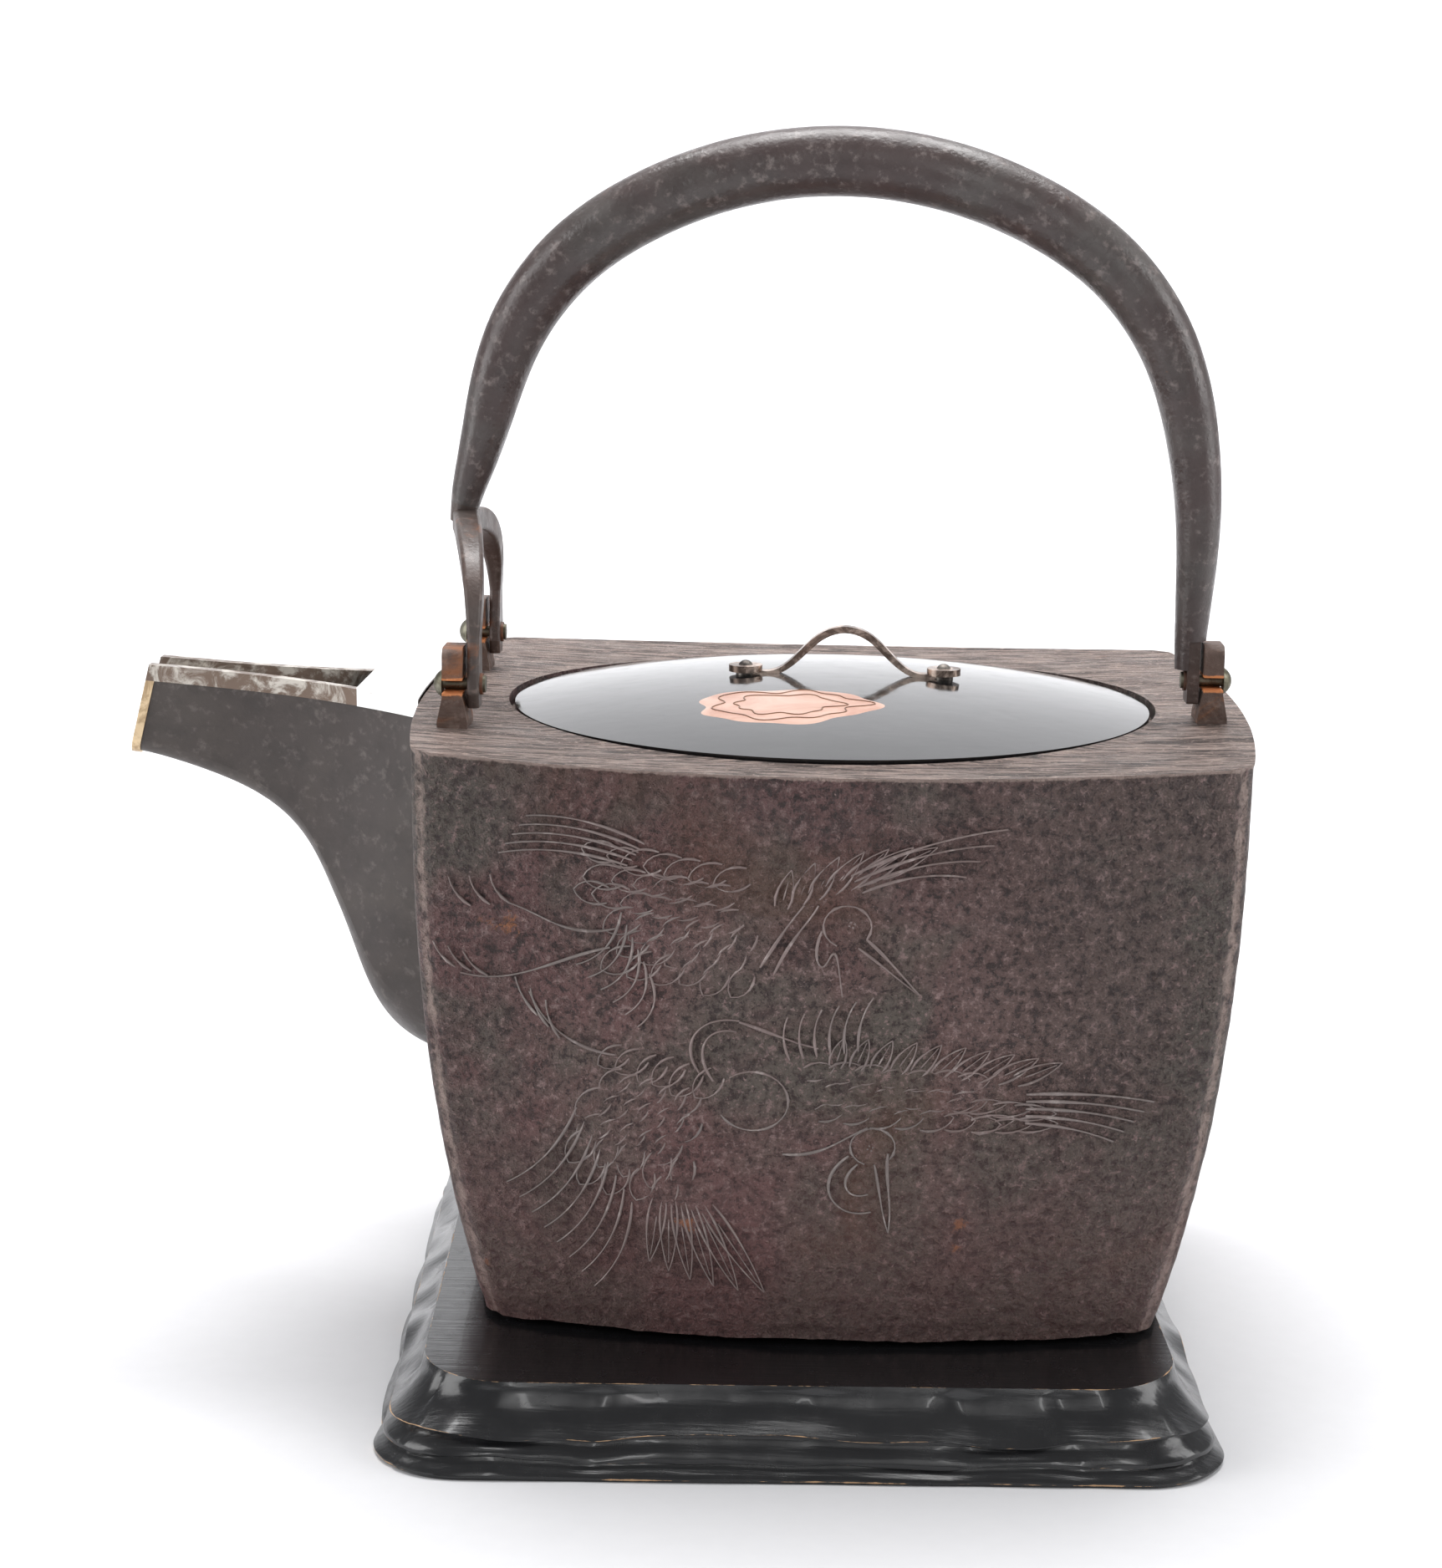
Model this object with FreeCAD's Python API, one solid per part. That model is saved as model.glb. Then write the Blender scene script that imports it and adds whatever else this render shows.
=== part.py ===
import FreeCAD, Part
import math
import os

# Square cast iron pouring kettle with a side spout, a fixed forged hoop handle, a lacquered lid
# and a carved wooden stand. Millimetres, +Z up, origin on the table under the stand's centre,
# spout towards -X, the face with the relief towards -Y.

Vec = FreeCAD.Vector

# ---- stand ------------------------------------------------------------------------------------
stand_spare_x = -11.8        # the stand's flat top is this much wider than the pot's top, across X
stand_spare_y = 10.2         # the same, across Y
stand_height = 15.0
stand_flare = 8.7            # how far the base reaches out past the top edge
stand_corner = 15.0          # cut corner of the top, along each side
stand_plinth = 4.5           # height of the upright band at the base
stand_yaw = 2.4              # the stand is turned this much under the pot, degrees

# ---- where the pot stands on the stand --------------------------------------------------------
pot_offset_x = 5.8
pot_offset_y = 10.4

# ---- pot --------------------------------------------------------------------------------------
pot_width = 148.0            # corner to corner along X, at the top
pot_depth = 141.0            # corner to corner along Y, at the top
pot_height = 109.7           # upright walls, top corner to bottom edge
bottom_loss = 24.4           # how much narrower it is along X at the bottom edge
wall_curve = 2.4             # how late the walls turn in towards the bottom
face_bow = 8.8               # front and back faces bulge this much in plan
side_bow = 6.0               # the two sides bulge this much in plan
corner_radius = 4.5          # upright corners
wall_thickness = 4.0
floor_thickness = 4.5
top_sag = 1.65               # the top dips this much at the middle of its width
foot_drop = 0.5              # the underside's flat is this much below the bottom edge
foot_inset = 9.0             # and this much inside it
edge_round = 1.2             # the underside's slope starts this much inside the bottom edge
ceiling_thickness = 6.0

# ---- mouth and lid ----------------------------------------------------------------------------
mouth_share = 0.8554         # mouth across, as a share of the pot's width
mouth_shift_y = -4.0         # the mouth and the lid sit this much nearer the front
ledge_width = 5.8            # ledge that the lid rests on, from the mouth in to the bore
ledge_depth = 1.8            # below the dip of the top
lid_gap = 1.2                # radial gap round the lid
lid_edge = 2.45              # thickness of the lid's rim
lid_rise = 5.8               # dome height above the rim's top
lid_wall = 2.4
ring_height = 4.5            # locating ring under the lid
ring_wall = 1.6
ring_gap = 0.8               # radial gap between the ring and the ledge bore

# ---- lid bail ---------------------------------------------------------------------------------
bail_shift = 2.5             # the bail sits a little to the right of the lid's middle
bail_rivet_spacing = 38.9
bail_foot_length = 6.6       # round foot, across
bail_arch_span = 21.0
bail_arch_height = 9.3
bail_arch_splay = 1.2        # the arch widens this much where it comes down to the feet
bail_strap = 1.5             # thickness of the strap over the arch
bail_foot_thickness = 1.3
bail_strap_width = 2.6
rosette_radius = 1.9
rosette_thickness = 0.5
rivet_radius = 0.8
rivet_head_radius = 1.4
rivet_head_height = 0.9
rivet_burr_radius = 1.9
rivet_burr_thickness = 0.6
rivet_tail = 0.9             # the hammered end below the burr washer
fitting_seat = 0.4           # how far rosettes and burr washers are let into the lid

# ---- spout ------------------------------------------------------------------------------------
spout_reach = 54.5           # rim, from the pot's side to its end
spout_tip_half_width = 6.3
spout_root_half_width = 19.3
spout_flare = 2.8            # how late the plan widens towards the pot
spout_tip_rise = 3.7         # rim above the pot's top corners, at the tip
spout_root_rise = -0.2       # the same at the pot
spout_wall = 1.6
keel_round = 0.62            # half width at the keel's rounding, share of the rim's half width
spout_depth_share = 0.7065   # the underside's inner end below the top, as a share of the height
spout_set_in = 11.0          # how far the spout runs on into the pot's wall and hollow
spout_crowding = 0.85        # sections stand closer together towards the pot
bridge_length = 12.5         # cover over the channel, out from the pot
band_height = 3.0
band_skin = 0.35             # silver sheet
mouth_strip = 1.4            # width of the strip round the mouth's edge
strainer_hole_radius = 1.9
strainer_pitch = 6.4
strainer_rows = 7
strainer_top = 14.0          # first row below the pot's top corners

# ---- lugs -------------------------------------------------------------------------------------
lug_height = 14.4            # above the pot's top corners
lug_depth = 9.6              # along Y
lug_top_width = 3.7
lug_base_width = 5.6
lug_flare_height = 5.2
lug_flat_foot = 0.6          # upright part of the base below the flare
lug_crown_round = 1.9
lug_root = 3.0               # how deep the lug is set into the top
pin_height = 7.2             # pin's axis above the pot's top corners
pin_set_back = 4.8           # pin's axis behind the lug's front face
pin_radius = 1.1
pin_clearance = 0.1
pin_head_radius = 2.6
pin_head_height = 1.7
side_clearance = 0.25        # between what slides past a lug and the lug

front_lug_inset = 4.3        # in from the end of the pot's width
front_lug_y = -41.0
rear_lug_inset = 0.6
rear_lug_y = 27.0
right_lug_inset = 1.8
right_lug_y = -19.0

# ---- handle -----------------------------------------------------------------------------------
hoop_crown_height = 103.2    # middle of the grip above the pot's top corners
hoop_left_inset = 2.1        # left end, in from the end of the pot's width
hoop_right_inset = 5.8       # right end, the same
hoop_left_height = 37.15     # left end above the pot's top corners
hoop_right_height = 6.01     # right end, the same
hoop_radius = 6.5            # half thickness of the grip at the crown
hoop_crown_bend = 80.0       # bend radius over the crown
hoop_crown_sweep = 33.0
hoop_shoulder_bend = 50.0
hoop_shoulder_sweep = 42.0
hoop_leg_bend = 110.0        # the right leg's slow turn to upright
hoop_leg_sweep = 17.0
hoop_left_run = 25.0         # the left leg's straight run to the fork
hoop_right_run = 23.0        # the right leg's straight run to its end
hoop_left_end = 2.8          # half thickness at the fork
hoop_right_end = 2.4         # half thickness at the right end
hoop_left_taper = 4.0
hoop_right_taper = 2.3
hoop_end_flat = 1.3          # the ends are this much wider along Y than along X
hoop_wall = 1.0
fork_width = 5.0             # leg across the fork's plane, at the top
fork_thickness = 4.6         # leg in the fork's plane, at the top
leg_thinning = 2.6           # how late the legs thin down to the feet
leg_drop = 1.0               # the legs branch off this much below the hoop's end
foot_thickness = 2.2         # flattened foot, along X
foot_width = 7.4             # flattened foot, along Y
foot_neck = 5.6              # foot along Y where it meets the leg, and at its end
foot_bottom = 3.0            # foot's end above the pot's top corners
fork_round = 0.9             # rounding of the fork's long edges
stub_gap = 0.15              # between the fork's stub and the hoop's bore
stub_length = 8.0
shoulder_length = 3.7        # tapered shoulder between the hoop's left end and the legs
shoulder_taper = 0.8
blade_rise = 1.6             # the feet are flat up to this much above the lugs
scarf_rise = 0.6             # the hoop's right end is cut away up to this much above its lug
tab_thickness = 2.2
tab_width = 6.0
washer_radius = 2.0
washer_thickness = 0.5
clinch_height = 0.5
clinch_spread = 0.5          # the hammered end is this much bigger than the pin, all round
far = 200.0                  # longer than any piece, for the shapes that only cut

# ---- worked out from the sizes above ----------------------------------------------------------
bottom_width = pot_width - bottom_loss
mouth_radius = mouth_share * pot_width / 2
ledge_radius = mouth_radius - ledge_width
stand_width = pot_width + stand_spare_x
stand_depth = pot_depth + stand_spare_y
spout_root_x = -pot_width / 2 - side_bow
spout_tip_x = spout_root_x - spout_reach
spout_end_x = spout_root_x + spout_set_in
bridge_start_x = spout_root_x - bridge_length
front_lug_x = -pot_width / 2 + front_lug_inset
rear_lug_x = -pot_width / 2 + rear_lug_inset
right_lug_x = pot_width / 2 - right_lug_inset
edge_z = stand_height + foot_drop
top_z = edge_z + pot_height
ledge_z = top_z - top_sag - ledge_depth
lid_radius = mouth_radius - lid_gap
ring_radius = ledge_radius - ring_gap
hollow_rise = lid_edge + lid_rise - lid_wall
pin_z = top_z + pin_height
bottom_depth = pot_depth * bottom_width / pot_width
section_count = 6


def arc_edge(start, middle, end):
    return Part.Arc(start, middle, end).toShape()


def line_edge(start, end):
    return Part.LineSegment(start, end).toShape()


def cylinder(radius, height, base, direction):
    return Part.makeCylinder(radius, height, base, direction)


def box_between(low, high):
    return Part.makeBox(high[0] - low[0], high[1] - low[1], high[2] - low[2], Vec(*low))


def one_solid(shape):
    """The largest solid of a result, without the slivers that a cut may leave."""
    return max(shape.Solids, key=lambda solid: solid.Volume)


# ---- pot body ---------------------------------------------------------------------------------

def bowed_outline(inset, drop):
    """Plan of the pot at a drop below its top corners, moved in by inset."""
    turn_in = min(max(drop / pot_height, 0.0), 1.0) ** wall_curve
    half_x = (pot_width - (pot_width - bottom_width) * turn_in) / 2 - inset
    half_y = (pot_depth - (pot_depth - bottom_depth) * turn_in) / 2 - inset
    z = top_z - drop
    corners = [Vec(-half_x, -half_y, z), Vec(half_x, -half_y, z),
               Vec(half_x, half_y, z), Vec(-half_x, half_y, z)]
    crests = [Vec(0, -half_y - face_bow, z), Vec(half_x + side_bow, 0, z),
              Vec(0, half_y + face_bow, z), Vec(-half_x - side_bow, 0, z)]
    edges = [arc_edge(corners[i], crests[i], corners[(i + 1) % 4]) for i in range(4)]
    return Part.Wire(edges)


def round_upright_edges(solid, radius):
    """Rounds the four upright corner edges."""
    upright = [e for e in solid.Edges if e.BoundBox.ZLength > pot_height / 2]
    return solid.makeFillet(radius, upright)


def pot_block(inset, first_drop, last_drop):
    """The pot's outer form, or the hollow inside it, between two drops below the top."""
    wires = []
    for i in range(section_count):
        drop = first_drop + (last_drop - first_drop) * i / (section_count - 1)
        wires.append(bowed_outline(inset, drop))
    return Part.makeLoft(wires, True)


def pot_outer():
    block = round_upright_edges(pot_block(0.0, 0.0, pot_height), corner_radius)
    edge_wire = bowed_outline(edge_round, pot_height)
    foot_wire = bowed_outline(foot_inset, pot_height)
    foot_wire.translate(Vec(0, 0, -foot_drop))
    return block.fuse(Part.makeLoft([edge_wire, foot_wire], True, True))


def top_dip():
    """A wide cylinder along Y that hollows the top across its width."""
    half = pot_width / 2
    radius = (half ** 2 + top_sag ** 2) / (2 * top_sag)
    base = Vec(0, -pot_depth, top_z - top_sag + radius)
    return cylinder(radius, 2 * pot_depth, base, Vec(0, 1, 0))


def strainer_holes():
    """Holes through the side wall into the spout."""
    holes = []
    for row in range(strainer_rows):
        count = 3 if row % 2 == 0 else 2
        for column in range(count):
            y = (column - (count - 1) / 2) * strainer_pitch
            z = top_z - strainer_top - row * strainer_pitch
            start = Vec(-pot_width / 2 - side_bow - 2, y, z)
            holes.append(cylinder(strainer_hole_radius, 4 * wall_thickness, start, Vec(1, 0, 0)))
    return holes


def pot_body(outer, lugs):
    hollow_top = top_sag + ceiling_thickness
    hollow = pot_block(wall_thickness, hollow_top, pot_height - floor_thickness)
    hollow = round_upright_edges(hollow, corner_radius - 1.5)
    up = Vec(0, 0, 1)
    recess = cylinder(mouth_radius, far, Vec(0, mouth_shift_y, ledge_z), up)
    bore_base = Vec(0, mouth_shift_y, ledge_z - 2 * ceiling_thickness)
    bore = cylinder(ledge_radius, far, bore_base, up)
    body = outer.cut(top_dip())
    body = body.cut(hollow)
    body = body.cut(recess)
    body = body.cut(bore)
    for hole in strainer_holes():
        body = body.cut(hole)
    for lug in lugs:
        body = body.cut(lug)
    return one_solid(body)


# ---- lugs -------------------------------------------------------------------------------------

def lug_half_width(height):
    """Half width of a lug at a height above the pot's top corners."""
    share = min(max((lug_flare_height - height) / (lug_flare_height - lug_flat_foot), 0.0), 1.0)
    return (lug_top_width + (lug_base_width - lug_top_width) * share) / 2


def lug(x, y):
    """Upright ear with a slot for the handle's pin, open to the front."""
    front = y - pin_set_back
    half_top = lug_top_width / 2
    half_base = lug_base_width / 2
    outline = [(-half_base, -lug_root), (half_base, -lug_root), (half_base, lug_flat_foot),
               (half_top, lug_flare_height), (half_top, lug_height),
               (-half_top, lug_height), (-half_top, lug_flare_height), (-half_base, lug_flat_foot)]
    points = [Vec(x + across, front, top_z + up) for across, up in outline]
    points.append(points[0])
    ear = Part.Face(Part.makePolygon(points)).extrude(Vec(0, lug_depth, 0))
    crown_edges = [e for e in ear.Edges if e.BoundBox.ZMin > top_z + lug_height - 0.01
                   and e.BoundBox.XLength > half_top]
    ear = ear.makeFillet(lug_crown_round, crown_edges)
    slot_half = pin_radius + pin_clearance
    reach = lug_base_width + 2
    start = Vec(x - reach / 2, y, pin_z)
    slot_end = cylinder(slot_half, reach, start, Vec(1, 0, 0))
    slot = box_between((x - reach / 2, front - 1, pin_z - slot_half),
                       (x + reach / 2, y, pin_z + slot_half))
    return ear.cut(slot_end).cut(slot)


# ---- spout ------------------------------------------------------------------------------------

def spout_half_width(x):
    share = max(x - spout_tip_x, 0.0) / (spout_root_x - spout_tip_x)
    return spout_tip_half_width + (spout_root_half_width - spout_tip_half_width) * share ** spout_flare


def rim_z(x):
    slope = (spout_root_rise - spout_tip_rise) / (spout_root_x - spout_tip_x)
    return top_z + spout_tip_rise + slope * (x - spout_tip_x)


def keel_curve():
    """Underside of the spout, from the mouth to inside the pot's wall.

    Each knot is the distance out from the pot's side, as a share of the spout's reach, and the
    drop below the top corners, as a share of the pot's height.
    """
    knots = [(1.088, 0.1294), (0.745, 0.1787), (0.5046, 0.2544), (0.367, 0.371),
             (0.2569, 0.5105), (0.1468, 0.6163), (-0.0183, 0.6746)]
    points = [Vec(spout_root_x - spout_reach * out, 0, top_z - pot_height * drop) for out, drop in knots]
    points.append(Vec(spout_end_x, 0, top_z - pot_height * spout_depth_share))
    curve = Part.BSplineCurve()
    curve.interpolate(points)
    return curve


def spout_section(rim, keel, half_width, swell, rim_lift):
    """U-shaped section in the plane of rim and keel, swollen sideways and at the keel."""
    rise = (rim - keel).normalize()
    side = Vec(0, 1, 0)
    top = rim + rise * rim_lift
    low = keel - rise * swell
    half = half_width + swell
    half_low = half_width * keel_round + swell
    knee = low + rise * (half_low * 0.75)
    near_top = top - side * half
    far_top = top + side * half
    near_knee = knee - side * half_low
    far_knee = knee + side * half_low
    edges = [line_edge(near_top, near_knee), arc_edge(near_knee, low, far_knee),
             line_edge(far_knee, far_top), line_edge(far_top, near_top)]
    return Part.Wire(edges)


def spout_form(swell, rim_lift, mouth_reach):
    """Lofted spout, grown or shrunk by swell; mouth_reach moves its first section outwards."""
    keel = keel_curve()
    first = keel.FirstParameter
    span = keel.LastParameter - first
    sections = 9
    wires = []
    for i in range(sections):
        share = i / (sections - 1)
        x = spout_tip_x + (spout_end_x - spout_tip_x) * share ** spout_crowding
        rim = Vec(x, 0, rim_z(x))
        low = keel.value(first + span * share)
        if i == 0:
            rim = rim + Vec(-mouth_reach, 0, 0)
            low = low + Vec(-mouth_reach, 0, 0)
        wires.append(spout_section(rim, low, spout_half_width(x), swell, rim_lift))
    return Part.makeLoft(wires, True)


def rim_zone(start_x, end_x, depth):
    """Space that holds the spout's top edge, from start_x to end_x."""
    low_start = rim_z(start_x) - depth
    low_end = rim_z(end_x) - depth
    points = [Vec(start_x, -far, low_start), Vec(end_x, -far, low_end),
              Vec(end_x, -far, top_z + far), Vec(start_x, -far, top_z + far)]
    points.append(points[0])
    return Part.Face(Part.makePolygon(points)).extrude(Vec(0, 2 * far, 0))


def spout_parts(outer):
    """Spout, its silver edge bands, the strip round the mouth and the cover by the pot."""
    outer = outer.fuse(Part.Face(bowed_outline(0.0, 0.0)).extrude(Vec(0, 0, far)))
    channel = spout_form(-spout_wall, band_height, band_height)
    spout = one_solid(spout_form(0.0, 0.0, 0.0).cut(channel).cut(outer))
    skin_outer = spout_form(band_skin, band_skin, band_skin)
    skin_inner = spout_form(-spout_wall - band_skin, band_height, band_height)
    skin = skin_outer.cut(skin_inner).cut(spout).cut(outer)
    end_x = spout_root_x + band_height
    bands = skin.common(rim_zone(spout_tip_x - 2 * band_height, end_x, band_height))
    front = one_solid(bands.common(box_between((-2 * far, -far, 0), (0, 0, 2 * far))))
    back = one_solid(bands.common(box_between((-2 * far, 0, 0), (0, far, 2 * far))))
    keel_end = keel_curve().value(keel_curve().FirstParameter)
    rim_end = Vec(spout_tip_x, 0, rim_z(spout_tip_x))
    lean = (rim_end - keel_end).normalize()
    low = keel_end - lean * (2 * band_height)
    high = rim_end + lean * (2 * band_height)
    outwards = Vec(-band_height, 0, 0)
    inwards = Vec(mouth_strip, 0, 0)
    points = [low + outwards, low + inwards, high + inwards, high + outwards, low + outwards]
    zone = Part.Face(Part.makePolygon(points))
    zone.translate(Vec(0, -far, 0))
    zone = zone.extrude(Vec(0, 2 * far, 0))
    strip = one_solid(skin.common(zone).cut(front).cut(back))
    cover_outer = spout_form(2 * band_skin, 2 * band_skin, 0.0)
    cover_inner = spout_form(band_skin, band_skin, band_height)
    cover = cover_outer.cut(cover_inner).cut(outer)
    cover = one_solid(cover.common(rim_zone(bridge_start_x, end_x + band_height, band_height)))
    return {"spout": spout, "spout_band_front": front, "spout_band_back": back,
            "spout_mouth_strip": strip, "spout_bridge": cover}


# ---- handle -----------------------------------------------------------------------------------

def walk(start, heading, bend, sweep, steps, side):
    """Stations along an arc in the hoop's plane: (point, heading in degrees, length so far)."""
    stations = []
    point = start
    length = 0.0
    step = math.radians(sweep) / steps
    chord = 2 * bend * math.sin(step / 2)
    for _ in range(steps):
        point = point + hoop_direction(heading + math.degrees(step) / 2, side) * chord
        heading = heading + math.degrees(step)
        length = length + bend * step
        stations.append((point, heading, length))
    return stations


def hoop_direction(heading, side):
    """Unit vector down the leg: side is -1 for the left leg, 1 for the right."""
    return Vec(side * math.cos(math.radians(heading)), 0, -math.sin(math.radians(heading)))


def raw_hoop_stations(side):
    """Stations from the crown down one side, as the bends and runs alone give them."""
    stations = [(Vec(0, 0, top_z + hoop_crown_height), 0.0, 0.0)]
    bends = [(hoop_crown_bend, hoop_crown_sweep, 4), (hoop_shoulder_bend, hoop_shoulder_sweep, 4)]
    if side > 0:
        bends.append((hoop_leg_bend, hoop_leg_sweep, 3))
    for bend, sweep, steps in bends:
        point, heading, done = stations[-1]
        for next_point, next_heading, length in walk(point, heading, bend, sweep, steps, side):
            stations.append((next_point, next_heading, done + length))
    run = hoop_right_run if side > 0 else hoop_left_run
    steps = 3
    point, heading, done = stations[-1]
    for i in range(1, steps + 1):
        move = run * i / steps
        stations.append((point + hoop_direction(heading, side) * move, heading, done + move))
    return stations


def hoop_stations(side):
    """Stations from the crown down one side, stretched so that the leg ends where it has to."""
    raw = raw_hoop_stations(side)
    crown = raw[0][0]
    end = raw[-1][0]
    inset, height = (hoop_left_inset, hoop_left_height)
    if side > 0:
        inset, height = (hoop_right_inset, hoop_right_height)
    spread = side * (pot_width / 2 - inset) / end.x
    fall = (hoop_crown_height - height) / (crown.z - end.z)
    stations = []
    for point, heading, length in raw:
        angle = math.radians(heading)
        turned = math.degrees(math.atan2(math.sin(angle) * fall, math.cos(angle) * spread))
        place = Vec(point.x * spread, 0, crown.z - (crown.z - point.z) * fall)
        stations.append((place, turned, length))
    return stations


def hoop_section(station, total, side, shrink):
    """Oval section across the hoop at a station."""
    point, heading, length = station
    end_half = hoop_right_end if side > 0 else hoop_left_end
    taper = hoop_right_taper if side > 0 else hoop_left_taper
    share = (length / total) ** taper
    half = hoop_radius - (hoop_radius - end_half) * share
    half_across = half * (1.001 + (hoop_end_flat - 1) * share)
    outward = (hoop_direction(heading, side) * side).cross(Vec(0, 1, 0))
    oval = Part.Ellipse(point + Vec(0, 1, 0) * (half_across - shrink), point + outward * (half - shrink),
                        point)
    return Part.Wire(oval.toShape())


def hoop_form(shrink):
    """The whole hoop from its left end to its right end, shrunk all round."""
    left = hoop_stations(-1)
    right = hoop_stations(1)
    wires = [hoop_section(station, left[-1][2], -1, shrink) for station in reversed(left)]
    wires += [hoop_section(station, right[-1][2], 1, shrink) for station in right[1:]]
    return Part.makeLoft(wires, True)


def hoop_ends():
    """Where the hoop's legs end, before the hoop is turned to meet its lugs."""
    left = hoop_stations(-1)[-1]
    right = hoop_stations(1)[-1]
    return left, right


def fork_centre_y():
    return (front_lug_y + rear_lug_y) / 2


def turn_hoop(shape):
    """Moves the hoop over the fork and turns it about the fork to reach the right lug."""
    left, right = hoop_ends()
    span = right[0].x - left[0].x
    yaw = math.degrees(math.asin((right_lug_y - fork_centre_y()) / span))
    shape.translate(Vec(0, fork_centre_y(), 0))
    shape.rotate(Vec(left[0].x, fork_centre_y(), 0), Vec(0, 0, 1), yaw)
    return shape


def handle_hoop():
    """Hollow grip, cut away at its right end so that the tongue can lie in it."""
    hoop = turn_hoop(hoop_form(0.0).cut(hoop_form(hoop_wall)))
    inner_x = blade_outer_face(right_lug_x) - tab_thickness
    scarf_top = top_z + lug_height + scarf_rise
    scarf = box_between((inner_x, right_lug_y - far, top_z), (far, right_lug_y + far, scarf_top))
    end_z = pin_z + washer_radius + side_clearance
    end_cut = box_between((0, right_lug_y - far, 0), (far, right_lug_y + far, end_z))
    return one_solid(hoop.cut(scarf).cut(end_cut))


def rounded_rectangle(centre, across, along, half_a, half_b, radius):
    """Closed outline about centre, half_a along across and half_b along along."""
    signs = [(1, -1), (1, 1), (-1, 1), (-1, -1)]
    diagonal = radius * (1 - math.sqrt(0.5))
    edges = []
    ends = []
    for index, (a, b) in enumerate(signs):
        corner_in = centre + across * (a * (half_a - radius)) + along * (b * half_b)
        corner_out = centre + across * (a * half_a) + along * (b * (half_b - radius))
        middle = centre + across * (a * (half_a - diagonal)) + along * (b * (half_b - diagonal))
        first, last = (corner_in, corner_out) if index % 2 == 0 else (corner_out, corner_in)
        ends.append((first, middle, last))
    for index, (first, middle, last) in enumerate(ends):
        edges.append(arc_edge(first, middle, last))
        edges.append(line_edge(last, ends[(index + 1) % 4][0]))
    return Part.Wire(edges)


def blade_outer_face(lug_x):
    """Where a foot's outer face lies: just clear of the lug beside it, down to the foot's end."""
    out = lug_half_width(foot_bottom) + side_clearance
    return lug_x - math.copysign(out, lug_x)


def fork_leg(lug_x, lug_y):
    """One leg of the fork: arches out from the hoop's end and comes down inside its lug."""
    left, _ = hoop_ends()
    up = Vec(0, 0, 1)
    start = Vec(left[0].x, fork_centre_y(), left[0].z - fork_thickness / 2 - leg_drop)
    foot_x = blade_outer_face(lug_x) - math.copysign(foot_thickness / 2, lug_x)
    knee = Vec(foot_x, lug_y, top_z + lug_height + blade_rise)
    level = Vec(knee.x - start.x, knee.y - start.y, 0)
    reach = level.Length
    level.normalize()
    drop = start.z - knee.z
    curve = Part.BezierCurve()
    curve.setPoles([start, start + level * (0.45 * reach), knee + up * (0.75 * drop), knee])
    side = Vec(math.copysign(1, up.cross(level).x), 0, 0)
    stations = 8
    wires = []
    for i in range(stations):
        share = i / (stations - 1)
        tangent = Vec(*curve.tangent(share)[0])
        across = (up.cross(level) * (1 - share) + side * share).normalize()
        along = tangent.cross(across).normalize()
        half_a = (fork_width + (foot_thickness - fork_width) * share ** leg_thinning) / 2
        half_b = (fork_thickness + (foot_neck - fork_thickness) * share ** 2) / 2
        wires.append(rounded_rectangle(curve.value(share), across, along, half_a, half_b, fork_round))
    leg = Part.makeLoft(wires, True)
    blade_wires = []
    for height, width in ((lug_height + blade_rise, foot_neck), (pin_height + 2.5, foot_width),
                          (pin_height - 1.5, foot_width), (foot_bottom, foot_neck)):
        centre = Vec(foot_x, lug_y, top_z + height)
        blade_wires.append(rounded_rectangle(centre, side, Vec(0, 1, 0), foot_thickness / 2, width / 2,
                                             fork_round))
    return leg.fuse(Part.makeLoft(blade_wires, True, True))


def handle_fork(hoop):
    """Two legs, and the stub that plugs the hoop's left end."""
    left, _ = hoop_ends()
    tangent = hoop_direction(left[1], -1)
    outward = tangent.cross(Vec(0, 1, 0))
    wires = []
    for move, shrink in ((0.0, 0.0), (shoulder_length, shoulder_taper)):
        centre = left[0] + tangent * move
        oval = Part.Ellipse(centre + Vec(0, 1, 0) * (hoop_left_end * hoop_end_flat - shrink),
                            centre + outward * (hoop_left_end - shrink), centre)
        wires.append(Part.Wire(oval.toShape()))
    shoulder = turn_hoop(Part.makeLoft(wires, True, True))
    stub_radius = hoop_left_end - hoop_wall - stub_gap
    stub = turn_hoop(cylinder(stub_radius, stub_length, left[0] + tangent, tangent * -1))
    fork = fork_leg(front_lug_x, front_lug_y).fuse(fork_leg(rear_lug_x, rear_lug_y))
    fork = fork.cut(hoop)
    fork = fork.fuse(shoulder)
    fork = fork.fuse(stub)
    for lug_x, lug_y in ((front_lug_x, front_lug_y), (rear_lug_x, rear_lug_y)):
        fork = fork.cut(pin_hole(lug_x, lug_y))
    return one_solid(fork)


def pin_hole(lug_x, lug_y):
    reach = 2 * lug_height
    return cylinder(pin_radius, 2 * reach, Vec(lug_x - reach, lug_y, pin_z), Vec(1, 0, 0))


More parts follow.
